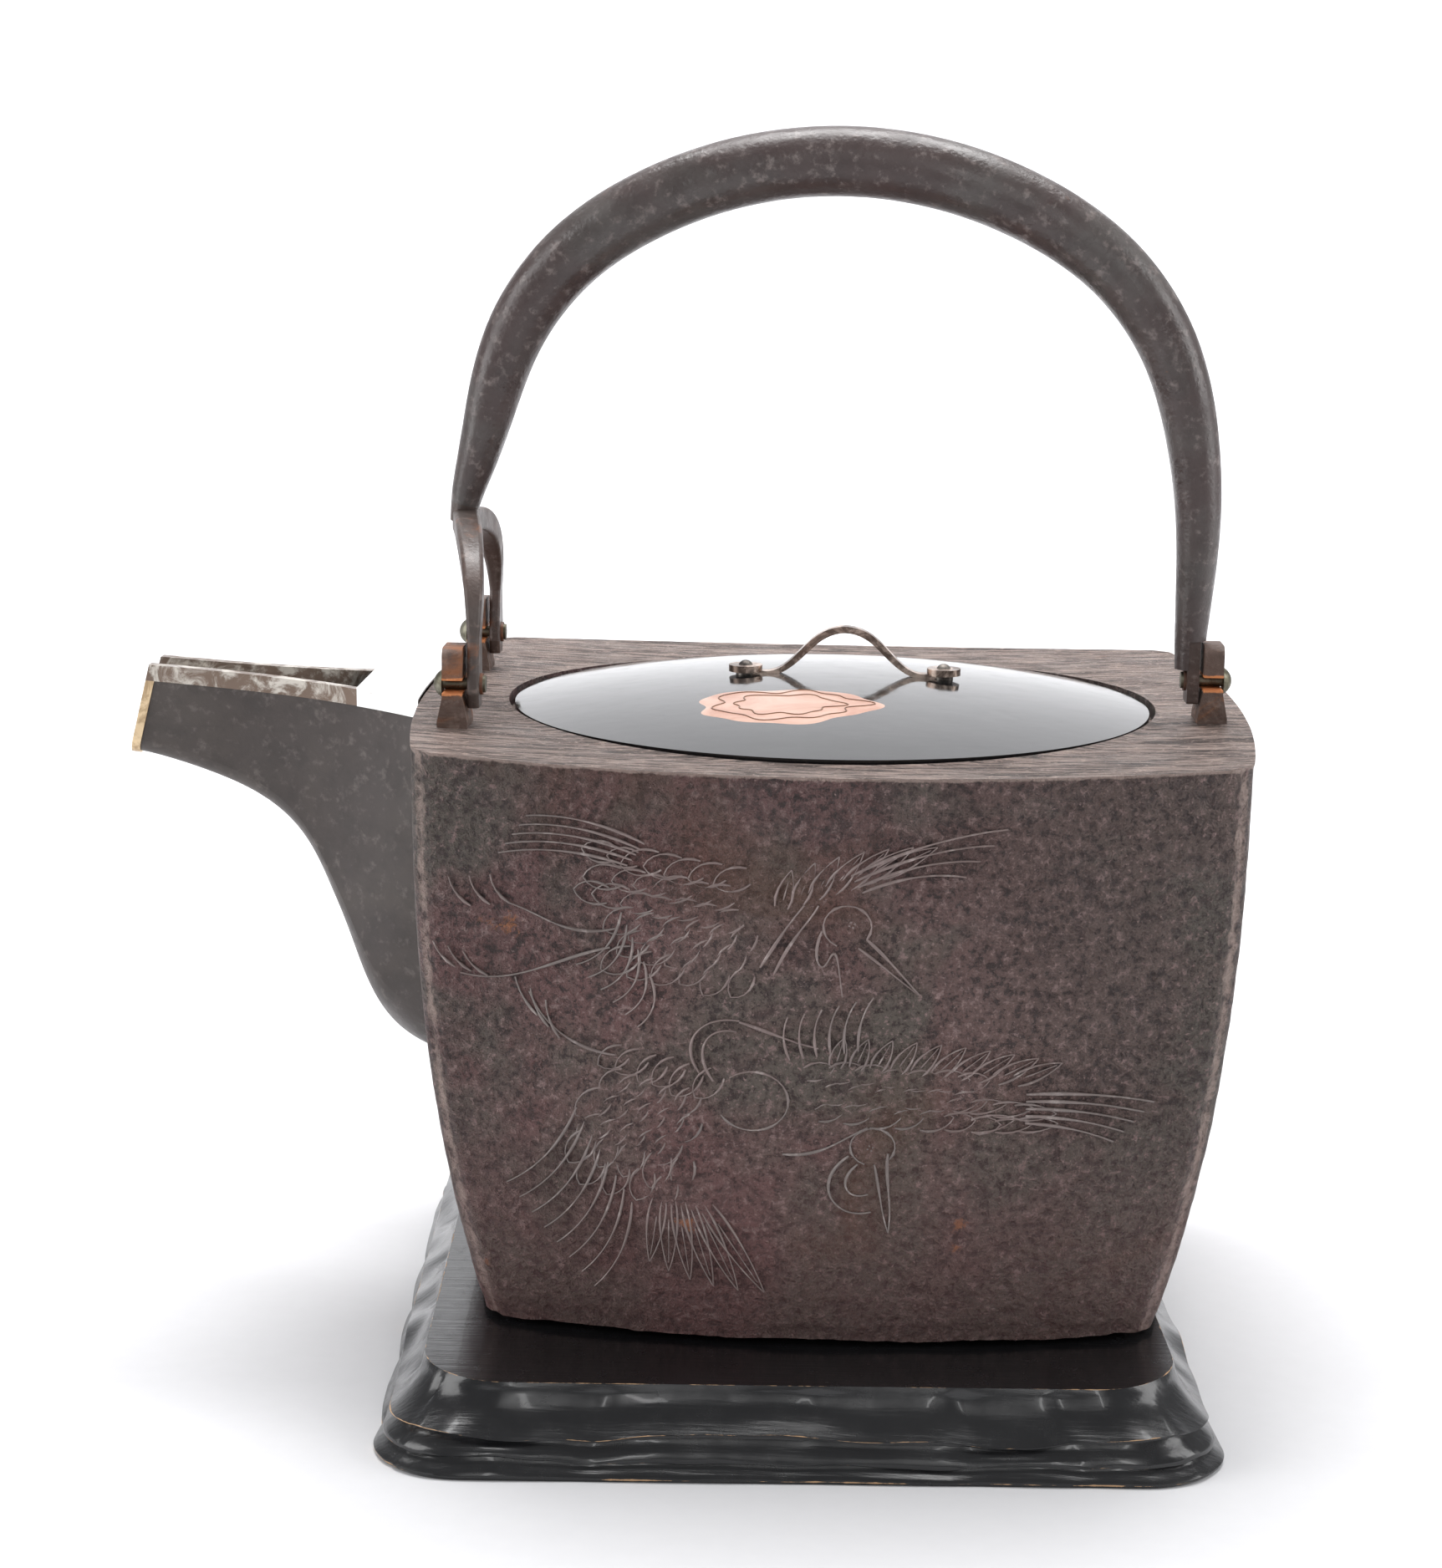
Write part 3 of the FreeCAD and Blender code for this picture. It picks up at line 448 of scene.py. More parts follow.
@dataclass(frozen=True)
class PotFinish:
    """The pot's iron: sandy walls, a combed top that catches the light, and a painted highlight along the
    outer edges.
    """

    name: str
    wall: IronFinish
    top_tint: Colour
    top_dark: Colour

    def make(self) -> bpy.types.Material:
        """Builds the material.

        Returns:
            The material.
        """
        base = self.wall
        bench = Bench(self.name)
        coarse = bench.clouds(330.0, 5.0, 0.72, warp=0.5)
        grit = bench.clouds(640.0, 5.0, 0.75)
        fine = bench.clouds(1400.0, 3.0, 0.7)
        streaks = bench.clouds(1.0, 6.0, 0.74, bench.scaled((70.0, 700.0, 320.0)), warp=1.2)
        flat = bench.limits(bench.facing_up(), 0.55, 0.85)
        wall = self._stained(bench, self._sandy(bench, coarse, grit, fine), coarse)
        bench.colour(bench.blend(flat, wall, self._combed(bench, streaks, grit)))
        bench.roughness(bench.limits(bench.clouds(110.0, 4.0, 0.6), 0.3, 0.7, base.roughness - 0.08,
                                     base.roughness + 0.10))
        bench.set(Metallic=0.0, Specular_IOR_Level=base.specular)
        calm = bench.attribute("calm")
        upright = bench.minus(1.0, flat)
        busy = bench.minus(1.0, bench.times(calm, 0.55))
        pits = bench.limits(bench.grains(380.0), 0.0, 0.5)
        height = bench.times(bench.times(coarse, busy), upright)
        pitting = bench.times(bench.times(pits, busy), upright)
        gritty = bench.times(grit, bench.minus(1.0, bench.times(calm, 0.35)))
        combed = bench.times(streaks, flat)
        bench.bumps([(height, 3.6 * MM), (pitting, 0.6 * MM), (combed, 2.2 * MM), (gritty, 1.6 * MM),
                     (fine, 0.25 * MM)])
        return bench.material

    def _sandy(self, bench: Bench, coarse: bpy.types.NodeSocket, grit: bpy.types.NodeSocket,
               fine: bpy.types.NodeSocket) -> bpy.types.NodeSocket:
        """Colour of the walls' clean iron: broad patches, painted shade in the hollows of the lumps and
        grains, and painted highlights on the grain tops.

        Args:
            bench: the material in the making.
            coarse: noise of the lumps.
            grit: noise of the grains.
            fine: noise finer than a grain.

        Returns:
            The colour socket.
        """
        base = self.wall
        patches = bench.limits(bench.clouds(22.0, 5.0, 0.6, warp=0.5), 0.42, 0.60)
        right_side = bench.limits(bench.axis("X"), -0.01, 0.075, 0.0, 0.7)
        wall = bench.blend(bench.reckon("MAXIMUM", patches, right_side), base.ground, base.patch)
        # painted shade: the hollows of the lumps and grains, where the bumps sink, are darkened
        wall = bench.blend(bench.limits(coarse, 0.36, 0.50, 0.75, 0.0), wall, shade(base.ground, 0.26))
        wall = bench.blend(bench.limits(grit, 0.40, 0.48, 0.95, 0.0), wall, shade(base.ground, 0.20))
        # painted highlight: the tops of the grains and the finer specks, where the bumps rise, are lightened
        wall = bench.blend(bench.limits(grit, 0.55, 0.63, 0.0, 0.95), wall, base.worn)
        return bench.blend(bench.limits(fine, 0.60, 0.74, 0.0, 0.7), wall, shade(base.worn, 1.7))

    def _stained(self, bench: Bench, wall: bpy.types.NodeSocket,
                 coarse: bpy.types.NodeSocket) -> bpy.types.NodeSocket:
        """Rust bloom, rust spots, painted stains, a painted highlight along the outer edges, and painted
        light that makes the lower walls paler.

        Args:
            bench: the material in the making.
            wall: colour of the clean iron.
            coarse: noise of the lumps, which makes the stains' edges ragged.

        Returns:
            The colour socket.
        """
        base = self.wall
        bloom = bench.limits(bench.clouds(16.0, 4.0, 0.6, warp=1.0), 0.55, 0.72, 0.0, 0.4)
        wall = bench.blend(bloom, wall, shade(base.rust, 0.45))
        spots = bench.clouds(90.0, 8.0, 0.75, warp=1.2)
        wall = bench.blend(bench.limits(spots, 0.66, 0.78, 0.0, 0.8), wall, base.rust)
        stain = bench.attribute("stain")
        ragged = bench.plus(stain, bench.times(bench.minus(coarse, 0.5), 5.0))
        stained = bench.times(bench.limits(ragged, 0.9, 1.5), stain)
        wall = bench.blend(bench.limits(stained, 0.0, 1.0, 0.0, 0.75), wall, shade(base.rust, 1.6))
        # painted highlight: the top edge and the upright corners get the top's pale tint, as light catching
        # the edges
        painted_edge_highlight = bench.plus(bench.attribute("painted_edge_highlight"), bench.minus(coarse, 0.5))
        wall = bench.blend(bench.limits(painted_edge_highlight, 0.45, 0.75, 0.0, 0.8), wall, self.top_tint)
        # painted light: the lower walls, which turn in and lie in shade, are painted lighter towards the
        # bottom
        low = bench.limits(bench.axis("Z"), 0.015, 0.075, 0.30, 0.0)
        return bench.blend(low, wall, shade(base.ground, 1.8))

    def _combed(self, bench: Bench, streaks: bpy.types.NodeSocket,
                grit: bpy.types.NodeSocket) -> bpy.types.NodeSocket:
        """Colour of the top: pale streaks, bright grains and some rust.

        Args:
            bench: the material in the making.
            streaks: noise drawn out across the top.
            grit: noise of the grains.

        Returns:
            The colour socket.
        """
        top = bench.blend(bench.limits(streaks, 0.42, 0.58), self.top_dark, self.top_tint)
        top = bench.blend(bench.limits(grit, 0.54, 0.68, 0.0, 0.6), top, shade(self.top_tint, 1.6))
        rusty = bench.limits(bench.clouds(45.0, 6.0, 0.7), 0.60, 0.78, 0.0, 0.5)
        return bench.blend(rusty, top, self.wall.rust)


@dataclass(frozen=True)
class LacquerFinish:
    """Black lacquer: deep gloss with a slight orange peel, brush grain and chipped edges."""

    name: str
    black: Colour
    bloom: Colour
    chip: Colour
    roughness: float
    brushed: float
    chipped: bool = False
    coat: float = 0.2

    def make(self) -> bpy.types.Material:
        """Builds the material.

        Returns:
            The material.
        """
        bench = Bench(self.name)
        cloudy = bench.limits(bench.clouds(35.0, 4.0, 0.6), 0.35, 0.75)
        colour = bench.blend(cloudy, self.black, self.bloom)
        grain = bench.clouds(1.0, 4.0, 0.6, bench.scaled((45.0, 900.0, 700.0)))
        rough = bench.limits(bench.clouds(240.0, 5.0, 0.7), 0.35, 0.75, self.roughness,
                             self.roughness + 0.10)
        if self.chipped:
            ragged = bench.clouds(150.0, 5.0, 0.72, warp=0.6)
            bare = bench.plus(bench.attribute("edge"), bench.minus(ragged, 0.5))
            mask = bench.limits(bare, 0.94, 1.0)
            wood = bench.blend(grain, self.chip, shade(self.chip, 0.55))
            colour = bench.blend(mask, colour, wood)
            rough = bench.plus(rough, bench.times(mask, 0.5))
        bench.colour(colour)
        bench.roughness(rough)
        bench.set(Specular_IOR_Level=0.5, Coat_Weight=self.coat, Coat_Roughness=0.05, Coat_IOR=1.5)
        peel = bench.clouds(130.0, 3.0, 0.5)
        bench.bumps([(peel, 0.05 * MM), (grain, self.brushed * MM)])
        return bench.material


@dataclass(frozen=True)
class SheetFinish:
    """Thin sheet metal: bright where polished by handling, brown where tarnished, slightly wrinkled."""

    name: str
    bright: Colour
    tarnish: Colour
    tarnished: float
    roughness: float
    wrinkle: float

    def make(self) -> bpy.types.Material:
        """Builds the material.

        Returns:
            The material.
        """
        bench = Bench(self.name)
        stain = bench.clouds(160.0, 6.0, 0.7, warp=0.8)
        mask = bench.limits(stain, 0.62 - 0.4 * self.tarnished, 0.80 - 0.4 * self.tarnished)
        bench.colour(bench.blend(mask, self.bright, self.tarnish))
        bench.roughness(bench.limits(bench.clouds(300.0, 4.0, 0.6), 0.3, 0.7, self.roughness,
                                     self.roughness + 0.18))
        bench.set(Metallic=1.0)
        creases = bench.clouds(75.0, 2.0, 0.5, warp=1.5)
        scratches = bench.clouds(1.0, 3.0, 0.6, bench.scaled((120.0, 1500.0, 1500.0)))
        bench.bumps([(creases, self.wrinkle * MM), (scratches, 0.03 * MM)])
        return bench.material


@dataclass(frozen=True)
class PictureFinish:
    """Layered coloured lacquer: a warm ground in cloudy light and deep tones, with fine darker specks."""

    name: str
    light: Colour
    deep: Colour
    roughness: float = 0.28

    def make(self) -> bpy.types.Material:
        """Builds the material.

        Returns:
            The material.
        """
        bench = Bench(self.name)
        drift = bench.clouds(90.0, 4.0, 0.6, warp=0.6)
        colour = bench.blend(bench.limits(drift, 0.35, 0.7), self.light, self.deep)
        specks = bench.limits(bench.grains(900.0), 0.0, 0.2, 0.35, 0.0)
        bench.colour(bench.blend(specks, colour, self.deep))
        bench.roughness(bench.limits(drift, 0.3, 0.7, self.roughness, self.roughness + 0.15))
        bench.set(Specular_IOR_Level=0.5)
        bench.bumps([(bench.clouds(500.0, 3.0, 0.6), 0.04 * MM)])
        return bench.material


@dataclass(frozen=True)
class PaperFinish:
    """Pale studio paper under and behind the kettle."""

    name: str
    tint: Colour

    def make(self) -> bpy.types.Material:
        """Builds the material.

        Returns:
            The material.
        """
        bench = Bench(self.name)
        fibre = bench.limits(bench.clouds(220.0, 4.0, 0.6), 0.3, 0.7)
        bench.colour(bench.blend(fibre, self.tint, shade(self.tint, 0.985)))
        bench.set(Roughness=0.9, Specular_IOR_Level=0.2)
        return bench.material


# ---- finished pieces ---------------------------------------------------------------------------


def finished(bm: bmesh.types.BMesh, name: str, body: str, material: bpy.types.Material,
             replaced: Sequence[str] = (), sharp: float = 40.0) -> bpy.types.Object:
    """Turns a bmesh into a dressed piece that rides on a body.

    Args:
        bm: the piece's mesh, in metres, in the row frame; it is freed.
        name: the piece's name.
        body: the CAD body it rides on.
        material: its finish.
        replaced: CAD nodes it stands for.
        sharp: edges that bend more than this many degrees stay crisp.

    Returns:
        The object.
    """
    limit = math.radians(sharp)
    for face in bm.faces:
        face.smooth = True
    for edge in bm.edges:
        edge.smooth = edge.calc_face_angle(0.0) < limit if edge.is_manifold else True
    mesh = bpy.data.meshes.new(name)
    bm.to_mesh(mesh)
    bm.free()
    mesh.materials.append(material)
    piece = bpy.data.objects.new(name, mesh)
    bpy.context.scene.collection.objects.link(piece)
    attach(piece, body)
    if replaced:
        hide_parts(*replaced)
    LOG.info("%s: %d faces on %s", name, len(mesh.polygons), body)
    return piece


def dress(material: bpy.types.Material, *nodes: str) -> None:
    """Gives CAD nodes that stay their finish.

    Args:
        material: the finish.
        nodes: the CAD nodes.
    """
    for node in nodes:
        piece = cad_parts[node]
        piece.data.materials.clear()
        piece.data.materials.append(material)
        LOG.info("%s: kept, dressed in %s", node, material.name)


# ---- pot ---------------------------------------------------------------------------------------


@dataclass
class PotForm:
    """Form of the pot, in millimetres about the pot's middle, heights above the table."""

    width: float = 148.0
    depth: float = 141.0
    height: float = 109.7
    bottom_loss: float = 24.4
    wall_curve: float = 2.4
    face_bow: float = 8.8
    side_bow: float = 6.0
    corner_radius: float = 4.5
    top_sag: float = 1.65
    top_z: float = 125.2
    stand_z: float = 15.0

    def turn_in(self, z: float) -> float:
        """Share of the walls' inward turn reached at a height."""
        return min(max((self.top_z - z) / self.height, 0.0), 1.0) ** self.wall_curve

    def halves(self, z: float) -> Flat:
        """Half width and half depth, corner to corner, at a height.

        Args:
            z: the height.

        Returns:
            Half width and half depth.
        """
        turn = self.turn_in(z)
        half_x = (self.width - self.bottom_loss * turn) / 2
        half_y = (self.depth - self.bottom_loss * self.depth / self.width * turn) / 2
        return half_x, half_y

    def plan(self, u: float, v: float, z: float, inset: float = 0.0) -> Flat:
        """Place of a point of the unit square in the pot's bowed, round-cornered plan.

        Args:
            u: -1 to 1 across X.
            v: -1 to 1 across Y.
            z: height.
            inset: how far the outline is moved in.

        Returns:
            x and y.
        """
        half_x, half_y = self.halves(z)
        reach_x = half_x - inset + self.side_bow * (1 - v * v)
        reach_y = half_y - inset + self.face_bow * (1 - u * u)
        return rounded_square(u, v, reach_x, reach_y, self.corner_radius)

    def rim_z(self, x: float) -> float:
        """Height of the dipped top at a distance from the middle."""
        return self.top_z - self.top_sag * max(1 - (2 * x / self.width) ** 2, 0.0)

    def face_y(self, x: float, z: float) -> float:
        """The front face's y at a place on it."""
        half_x, half_y = self.halves(z)
        return -(half_y + self.face_bow * (1 - (x / half_x) ** 2))


@dataclass
class PotSkin:
    """The pot as one closed skin: a cube, divided and drawn to the pot's outer and inner form.

    Sizes are in millimetres. A stain's spot is its middle, in x and in height below the top, and its reach.
    """

    form: PotForm = field(default_factory=PotForm)
    cells: int = 88
    mouth_radius: float = 63.3
    ledge_radius: float = 57.5
    mouth_shift: float = -4.0
    ledge_z: float = 121.75
    ceiling_z: float = 117.55
    floor_z: float = 20.0
    edge_z: float = 15.5
    wall: float = 4.0
    top_rings: int = 14
    ceiling_rings: int = 4
    wall_rings: int = 11
    foot_rings: int = 6
    foot_inset: float = 9.0
    edge_inset: float = 1.2
    roughness: float = 0.42
    skin_depth: float = 0.22
    stains: tuple[Spot, ...] = (
        (-24.0, -86.0, 4.5, 6.5), (25.0, -87.0, 3.5, 7.0), (-57.0, -30.5, 6.0, 4.0), (-62.0, -98.0, 4.0, 3.0))

    def build(self, material: bpy.types.Material, calm: Callable[[float, float], float],
              swell: Callable[[float, float], float]) -> bpy.types.Object:
        """Models the pot.

        Args:
            material: the pot's iron.
            calm: how much smoother the front face is at x, z: 0 to 1.
            swell: how much the front face is raised at x, z: 0 to 1.

        Returns:
            The piece.
        """
        bm = bmesh.new()
        bmesh.ops.create_cube(bm, size=2.0)
        bmesh.ops.subdivide_edges(bm, edges=bm.edges[:], cuts=self.cells - 1, use_grid_fill=True)
        calmed = bm.verts.layers.float.new("calm")
        stained = bm.verts.layers.float.new("stain")
        painted_edge_highlight = bm.verts.layers.float.new("painted_edge_highlight")
        outside = {}
        for vert in bm.verts:
            u, v, w = vert.co
            vert.co, outside[vert] = self._place(u, v, w)
        bmesh.ops.recalc_face_normals(bm, faces=bm.faces[:])
        bm.normal_update()
        moves = {}
        for vert in bm.verts:
            if not outside[vert]:
                continue
            x, y, z = vert.co
            front = soft_step(0.55, 0.8, -vert.normal.y)
            ease = calm(x, z) * front
            vert[calmed] = ease
            vert[stained] = self._stain(x, z) * front
            # strength of the painted highlight along the top edge and the corners
            vert[painted_edge_highlight] = self._painted_edge_highlight(x, y, z)
            moves[vert] = vert.normal * -self._pitting(vert.co, ease, swell(x, z) * front, vert.normal.z)
            if z < self.edge_z + 3.0 and vert.normal.z < 0.5 and z > self.form.stand_z + 0.1:
                moves[vert] += Vector((0, 0, self._ragged(x, y)))
        for vert, move in moves.items():
            vert.co += move
        middle = pot_middle()
        bmesh.ops.transform(bm, matrix=Matrix.Translation(middle) @ Matrix.Scale(MM, 4), verts=bm.verts[:])
        return finished(bm, "pot_cast_body", "pot", material, ["pot_body"], sharp=32.0)

    def _ragged(self, x: float, y: float) -> float:
        """How far the uneven bottom edge is raised, in millimetres."""
        broad = 0.5 + noise.noise(Vector((x, y, 3.0)) * 0.09)
        return 0.55 * broad + 0.35 * abs(noise.noise(Vector((x, y, 9.0)) * 0.3))

    def _stain(self, x: float, z: float) -> float:
        """How rusty the front face is at a place, 0 to 1."""
        return in_spots(self.stains, x, z - self.form.top_z, 0.3, 1.2)

    def _painted_edge_highlight(self, x: float, y: float, z: float) -> float:
        """How much painted highlight a place on an outer edge gets, as light catching the edge.

        Args:
            x: across, from the middle.
            y: to the back, from the middle.
            z: height.

        Returns:
            A number from 0 to 1.
        """
        half_x, half_y = self.form.halves(z)
        corner = soft_step(4.5, 1.0, abs(half_x - abs(x))) * soft_step(4.5, 1.0, abs(half_y - abs(y)))
        top = soft_step(1.6, 0.3, abs(self.form.rim_z(x) - z))
        reach_y = half_y + self.form.face_bow * (1 - (x / half_x) ** 2)
        reach_x = half_x + self.form.side_bow * (1 - min(y / half_y, 1.0) ** 2)
        rim = soft_step(1.8, 0.4, min(abs(reach_y - abs(y)), abs(reach_x - abs(x))))
        return max(0.7 * corner, top * rim)

    def _pitting(self, place: Vector, ease: float, raised: float, up: float) -> float:
        """How far the sand casting lies below its nominal skin.

        Args:
            place: the point on the nominal skin.
            ease: how much smoother the face is here, 0 to 1.
            raised: how much the face is raised here, 0 to 1.
            up: how much the skin faces up.

        Returns:
            The depth in millimetres.
        """
        broad = 0.5 + 0.5 * noise.noise(place * 0.055)
        lumps = 0.5 + 0.5 * noise.noise(place * 0.16 + Vector((7.0, 3.0, 1.0)))
        grit = 0.5 + 0.5 * noise.noise(place * 0.42)
        coarse = 1.0 + 0.5 * soft_step(0.0, 60.0, place.x) + 0.6 * soft_step(60.0, 20.0, place.z)
        rough = 0.30 * broad + 0.34 * lumps * coarse + 0.30 * grit * coarse
        if up > 0.6:
            rough = 0.25 * grit + 0.1 * broad
        depth = self.roughness * rough * (1.0 - 0.6 * ease) + self.skin_depth
        return max(depth - 0.34 * raised, 0.0)

    def _place(self, u: float, v: float, w: float) -> tuple[Vector, bool]:
        """Where a point of the divided cube goes.

        Args:
            u: -1 to 1 across X.
            v: -1 to 1 across Y.
            w: -1 to 1 upwards.

        Returns:
            The place, and whether it is on the rough outside.
        """
        rings = self.cells // 2
        spread = max(abs(u), abs(v))
        ring = round((1.0 - spread) * rings)
        if w > 1.0 - 1e-6 and ring > 0:
            return self._inward(u / max(spread, 1e-9), v / max(spread, 1e-9), ring, rings)
        if w < 1e-6 - 1.0 and ring > 0:
            return self._foot(u, v, spread, ring, rings)
        share = (w + 1.0) / 2.0
        z = self.edge_z + (self.form.top_z - self.edge_z) * share
        x, y = self.form.plan(u, v, z)
        z = self.edge_z + (self.form.rim_z(x) - self.edge_z) * share
        return Vector((x, y, z)), True

    def _foot(self, u: float, v: float, spread: float, ring: int, rings: int) -> tuple[Vector, bool]:
        """A point of the underside: a slope from the bottom edge in to a flat that stands.

        Args:
            u: -1 to 1 across X.
            v: -1 to 1 across Y.
            spread: the larger of the two, without sign.
            ring: number of rings in from the outer edge.
            rings: how many there are.

        Returns:
            The place, and whether it is on the rough outside.
        """
        slope = self.foot_rings
        if ring <= slope:
            share = (ring - 1) / (slope - 1)
            inset = self.edge_inset + (self.foot_inset - self.edge_inset) * share
            x, y = self.form.plan(u / spread, v / spread, self.edge_z, inset)
            return Vector((x, y, self.edge_z + (self.form.stand_z - self.edge_z) * share)), ring < slope
        inner = (rings - ring) / (rings - slope)
        x, y = self.form.plan(u / spread * inner if spread else 0.0, v / spread * inner if spread else 0.0,
                              self.edge_z, self.foot_inset)
        return Vector((x, y, self.form.stand_z)), False

    def _inward(self, a: float, b: float, ring: int, rings: int) -> tuple[Vector, bool]:
        """A point of the top, the mouth, the ledge and the inside, ring by ring.

        Args:
            a: direction across X on the unit square's edge.
            b: direction across Y.
            ring: number of rings in from the outer edge.
            rings: how many there are.

        Returns:
            The place, and whether it is on the rough outside.
        """
        form = self.form
        rim = Vector((*form.plan(a, b, form.top_z), 0.0))
        centre = Vector((0.0, self.mouth_shift, 0.0))
        way = (rim - centre).normalized()
        last_top = self.top_rings
        if ring <= last_top:
            share = ring / last_top
            flat = rim.lerp(centre + way * self.mouth_radius, share)
            return Vector((flat.x, flat.y, form.rim_z(flat.x))), 0 < ring < last_top
        if ring == last_top + 1:
            return centre + way * self.mouth_radius + Vector((0, 0, self.ledge_z)), False
        if ring == last_top + 2:
            return centre + way * self.ledge_radius + Vector((0, 0, self.ledge_z)), False
        if ring == last_top + 3:
            return centre + way * self.ledge_radius + Vector((0, 0, self.ceiling_z)), False
        inner_wall = last_top + 3 + self.ceiling_rings
        if ring <= inner_wall:
            share = (ring - last_top - 3) / self.ceiling_rings
            edge = Vector((*form.plan(a, b, self.ceiling_z, self.wall), 0.0))
            flat = (centre + way * self.ledge_radius).lerp(edge, share)
            return Vector((flat.x, flat.y, self.ceiling_z)), False
        floor_ring = inner_wall + self.wall_rings
        if ring <= floor_ring:
            z = self.ceiling_z + (self.floor_z - self.ceiling_z) * (ring - inner_wall) / self.wall_rings
            return Vector((*form.plan(a, b, z, self.wall), z)), False
        inner = (rings - ring) / (rings - floor_ring)
        return Vector((*form.plan(a * inner, b * inner, self.floor_z, self.wall), self.floor_z)), False


# ---- relief of two birds -----------------------------------------------------------------------


@dataclass
class BirdRelief:
    """Two long-necked birds in flight, in thin raised lines on the front face.

    Places are x and height below the pot's top, in millimetres about the pot's middle.
    """

    form: PotForm = field(default_factory=PotForm)
    line: float = 0.30
    sunk: float = 0.10
    seed: int = 11
    ground: Spot = (-8.0, -54.0, 62.0, 46.0)
    strokes: list[tuple[list[Flat], float]] = field(default_factory=list)
    humps: tuple[Spot, ...] = (
        (-26.0, -27.0, 15.0, 9.0), (-20.0, -34.0, 10.0, 7.0), (2.0, -20.0, 12.0, 5.0),
        (3.5, -28.0, 4.0, 3.5), (-13.0, -61.0, 8.0, 6.5), (12.0, -59.0, 22.0, 6.0),
        (-34.0, -67.0, 13.0, 11.0), (-25.0, -82.0, 9.0, 7.0), (9.0, -69.0, 4.0, 3.5))

    def calm(self, x: float, z: float) -> float:
        """How smooth the ground is around the birds."""
        return in_spots([self.ground], x, z - self.form.top_z, 0.55, 1.05)

    def swell(self, x: float, z: float) -> float:
        """How much the ground is raised under the birds."""
        return in_spots(self.humps, x, z - self.form.top_z, 0.6, 1.1)

    def stroke(self, a: Flat, b: Flat, c: Flat, d: Flat, width: float = 1.0) -> None:
        """One tapered line along a cubic curve.

        Args:
            a: start.
            b: first handle.
            c: second handle.
            d: end.
            width: thickness, as a share of the usual line.
        """
        length = math.dist(a, b) + math.dist(b, c) + math.dist(c, d)
        count = max(5, int(length / 1.1))
        corners = [Vector((p[0], p[1], 0.0)) for p in (a, b, c, d)]
        points = interpolate_bezier(*corners, count)
        self.strokes.append(([(p.x, p.y) for p in points], width))

    def feather(self, root: Flat, heading: float, length: float, width: float, pointed: float = 0.3,
                rib: bool = False) -> None:
        """A feather's outline from its root to its tip and back.

        Args:
            root: where it grows.
            heading: its direction, degrees, 0 towards +X.
            length: root to tip.
            width: across.
            pointed: 0 for a round tip, 1 for a sharp one.
            rib: whether it has a middle line.
        """
        angle = math.radians(heading)
        ahead, side = Vector((math.cos(angle), math.sin(angle))), Vector((-math.sin(angle), math.cos(angle)))
        base = Vector(root)
        tip = base + ahead * length
        blunt = width * 0.5 * (1.0 - pointed)
        for sign in (-1.0, 1.0):
            start = base + side * (sign * width * 0.36)
            leaving = start + ahead * (0.35 * length) + side * (sign * width * 0.30)
            arriving = tip - ahead * (0.18 * length) + side * (sign * (blunt + 0.12 * width))
            self.stroke(tuple(start), tuple(leaving), tuple(arriving), tuple(tip), 0.9)
        if rib:
            a, b, c, d = (tuple(base + ahead * (part * length)) for part in (0.2, 0.4, 0.6, 0.88))
            self.stroke(a, b, c, d, 0.6)

    def rows(self, start: Flat, end: Flat, step: Flat, lines: int, count: int, turn: tuple[float, float],
             size: tuple[float, float], pointed: float = 0.1) -> None:
        """Rows of short feathers that overlap like scales.

        Args:
            start: first root of the first row.
            end: last root of the first row.
            step: shift from one row to the next.
            lines: number of rows.
            count: feathers in the first row.
            turn: heading of the first and of the last feather, degrees.
            size: length and width of a feather.
            pointed: how sharp the tips are.
        """
        dice = random.Random(self.seed + len(self.strokes))
        for line in range(lines):
            many = count - line % 2
            for index in range(many):
                share = (index + 0.5 * (line % 2)) / max(count - 1, 1)
                x = start[0] + (end[0] - start[0]) * share + step[0] * line
                z = start[1] + (end[1] - start[1]) * share + step[1] * line
                heading = turn[0] + (turn[1] - turn[0]) * share + dice.uniform(-5.0, 5.0)
                grown = dice.uniform(0.88, 1.15)
                self.feather((x + dice.uniform(-0.3, 0.3), z + dice.uniform(-0.3, 0.3)), heading,
                             size[0] * grown, size[1] * grown, pointed)

    def plumes(self, roots: tuple[Flat, Flat], tips: tuple[Flat, Flat], count: int, bend: float,
               width: float = 1.0) -> None:
        """Long single lines that fan out.

        Args:
            roots: first and last root.
            tips: first and last tip.
            count: number of lines.
            bend: how far each line bows sideways.
            width: thickness of the lines.
        """
        for index in range(count):
            share = index / max(count - 1, 1)
            root = Vector(roots[0]).lerp(Vector(roots[1]), share)
            tip = Vector(tips[0]).lerp(Vector(tips[1]), share)
            side = (tip - root).orthogonal().normalized() * bend
            self.stroke(tuple(root), tuple(root.lerp(tip, 0.35) + side), tuple(root.lerp(tip, 0.7) + side),
                        tuple(tip), width)

    def ring(self, middle: Flat, reach: Flat, opening: tuple[float, float] = (0.0, 360.0)) -> None:
        """An oval line, or part of one.

        Args:
            middle: its centre.
            reach: half width and half height.
            opening: first and last angle, degrees.
        """
        pieces = 4
        step = math.radians(opening[1] - opening[0]) / pieces
        pull = 4.0 / 3.0 * math.tan(step / 4.0)
        for index in range(pieces):
            first = math.radians(opening[0]) + step * index
            last = first + step

            def at(angle: float, along: float) -> Flat:
                """A point of the oval, or one moved along its tangent."""
                return (middle[0] + reach[0] * (math.cos(angle) - along * math.sin(angle)),
                        middle[1] + reach[1] * (math.sin(angle) + along * math.cos(angle)))

            self.stroke(at(first, 0.0), at(first, pull), at(last, -pull), at(last, 0.0))

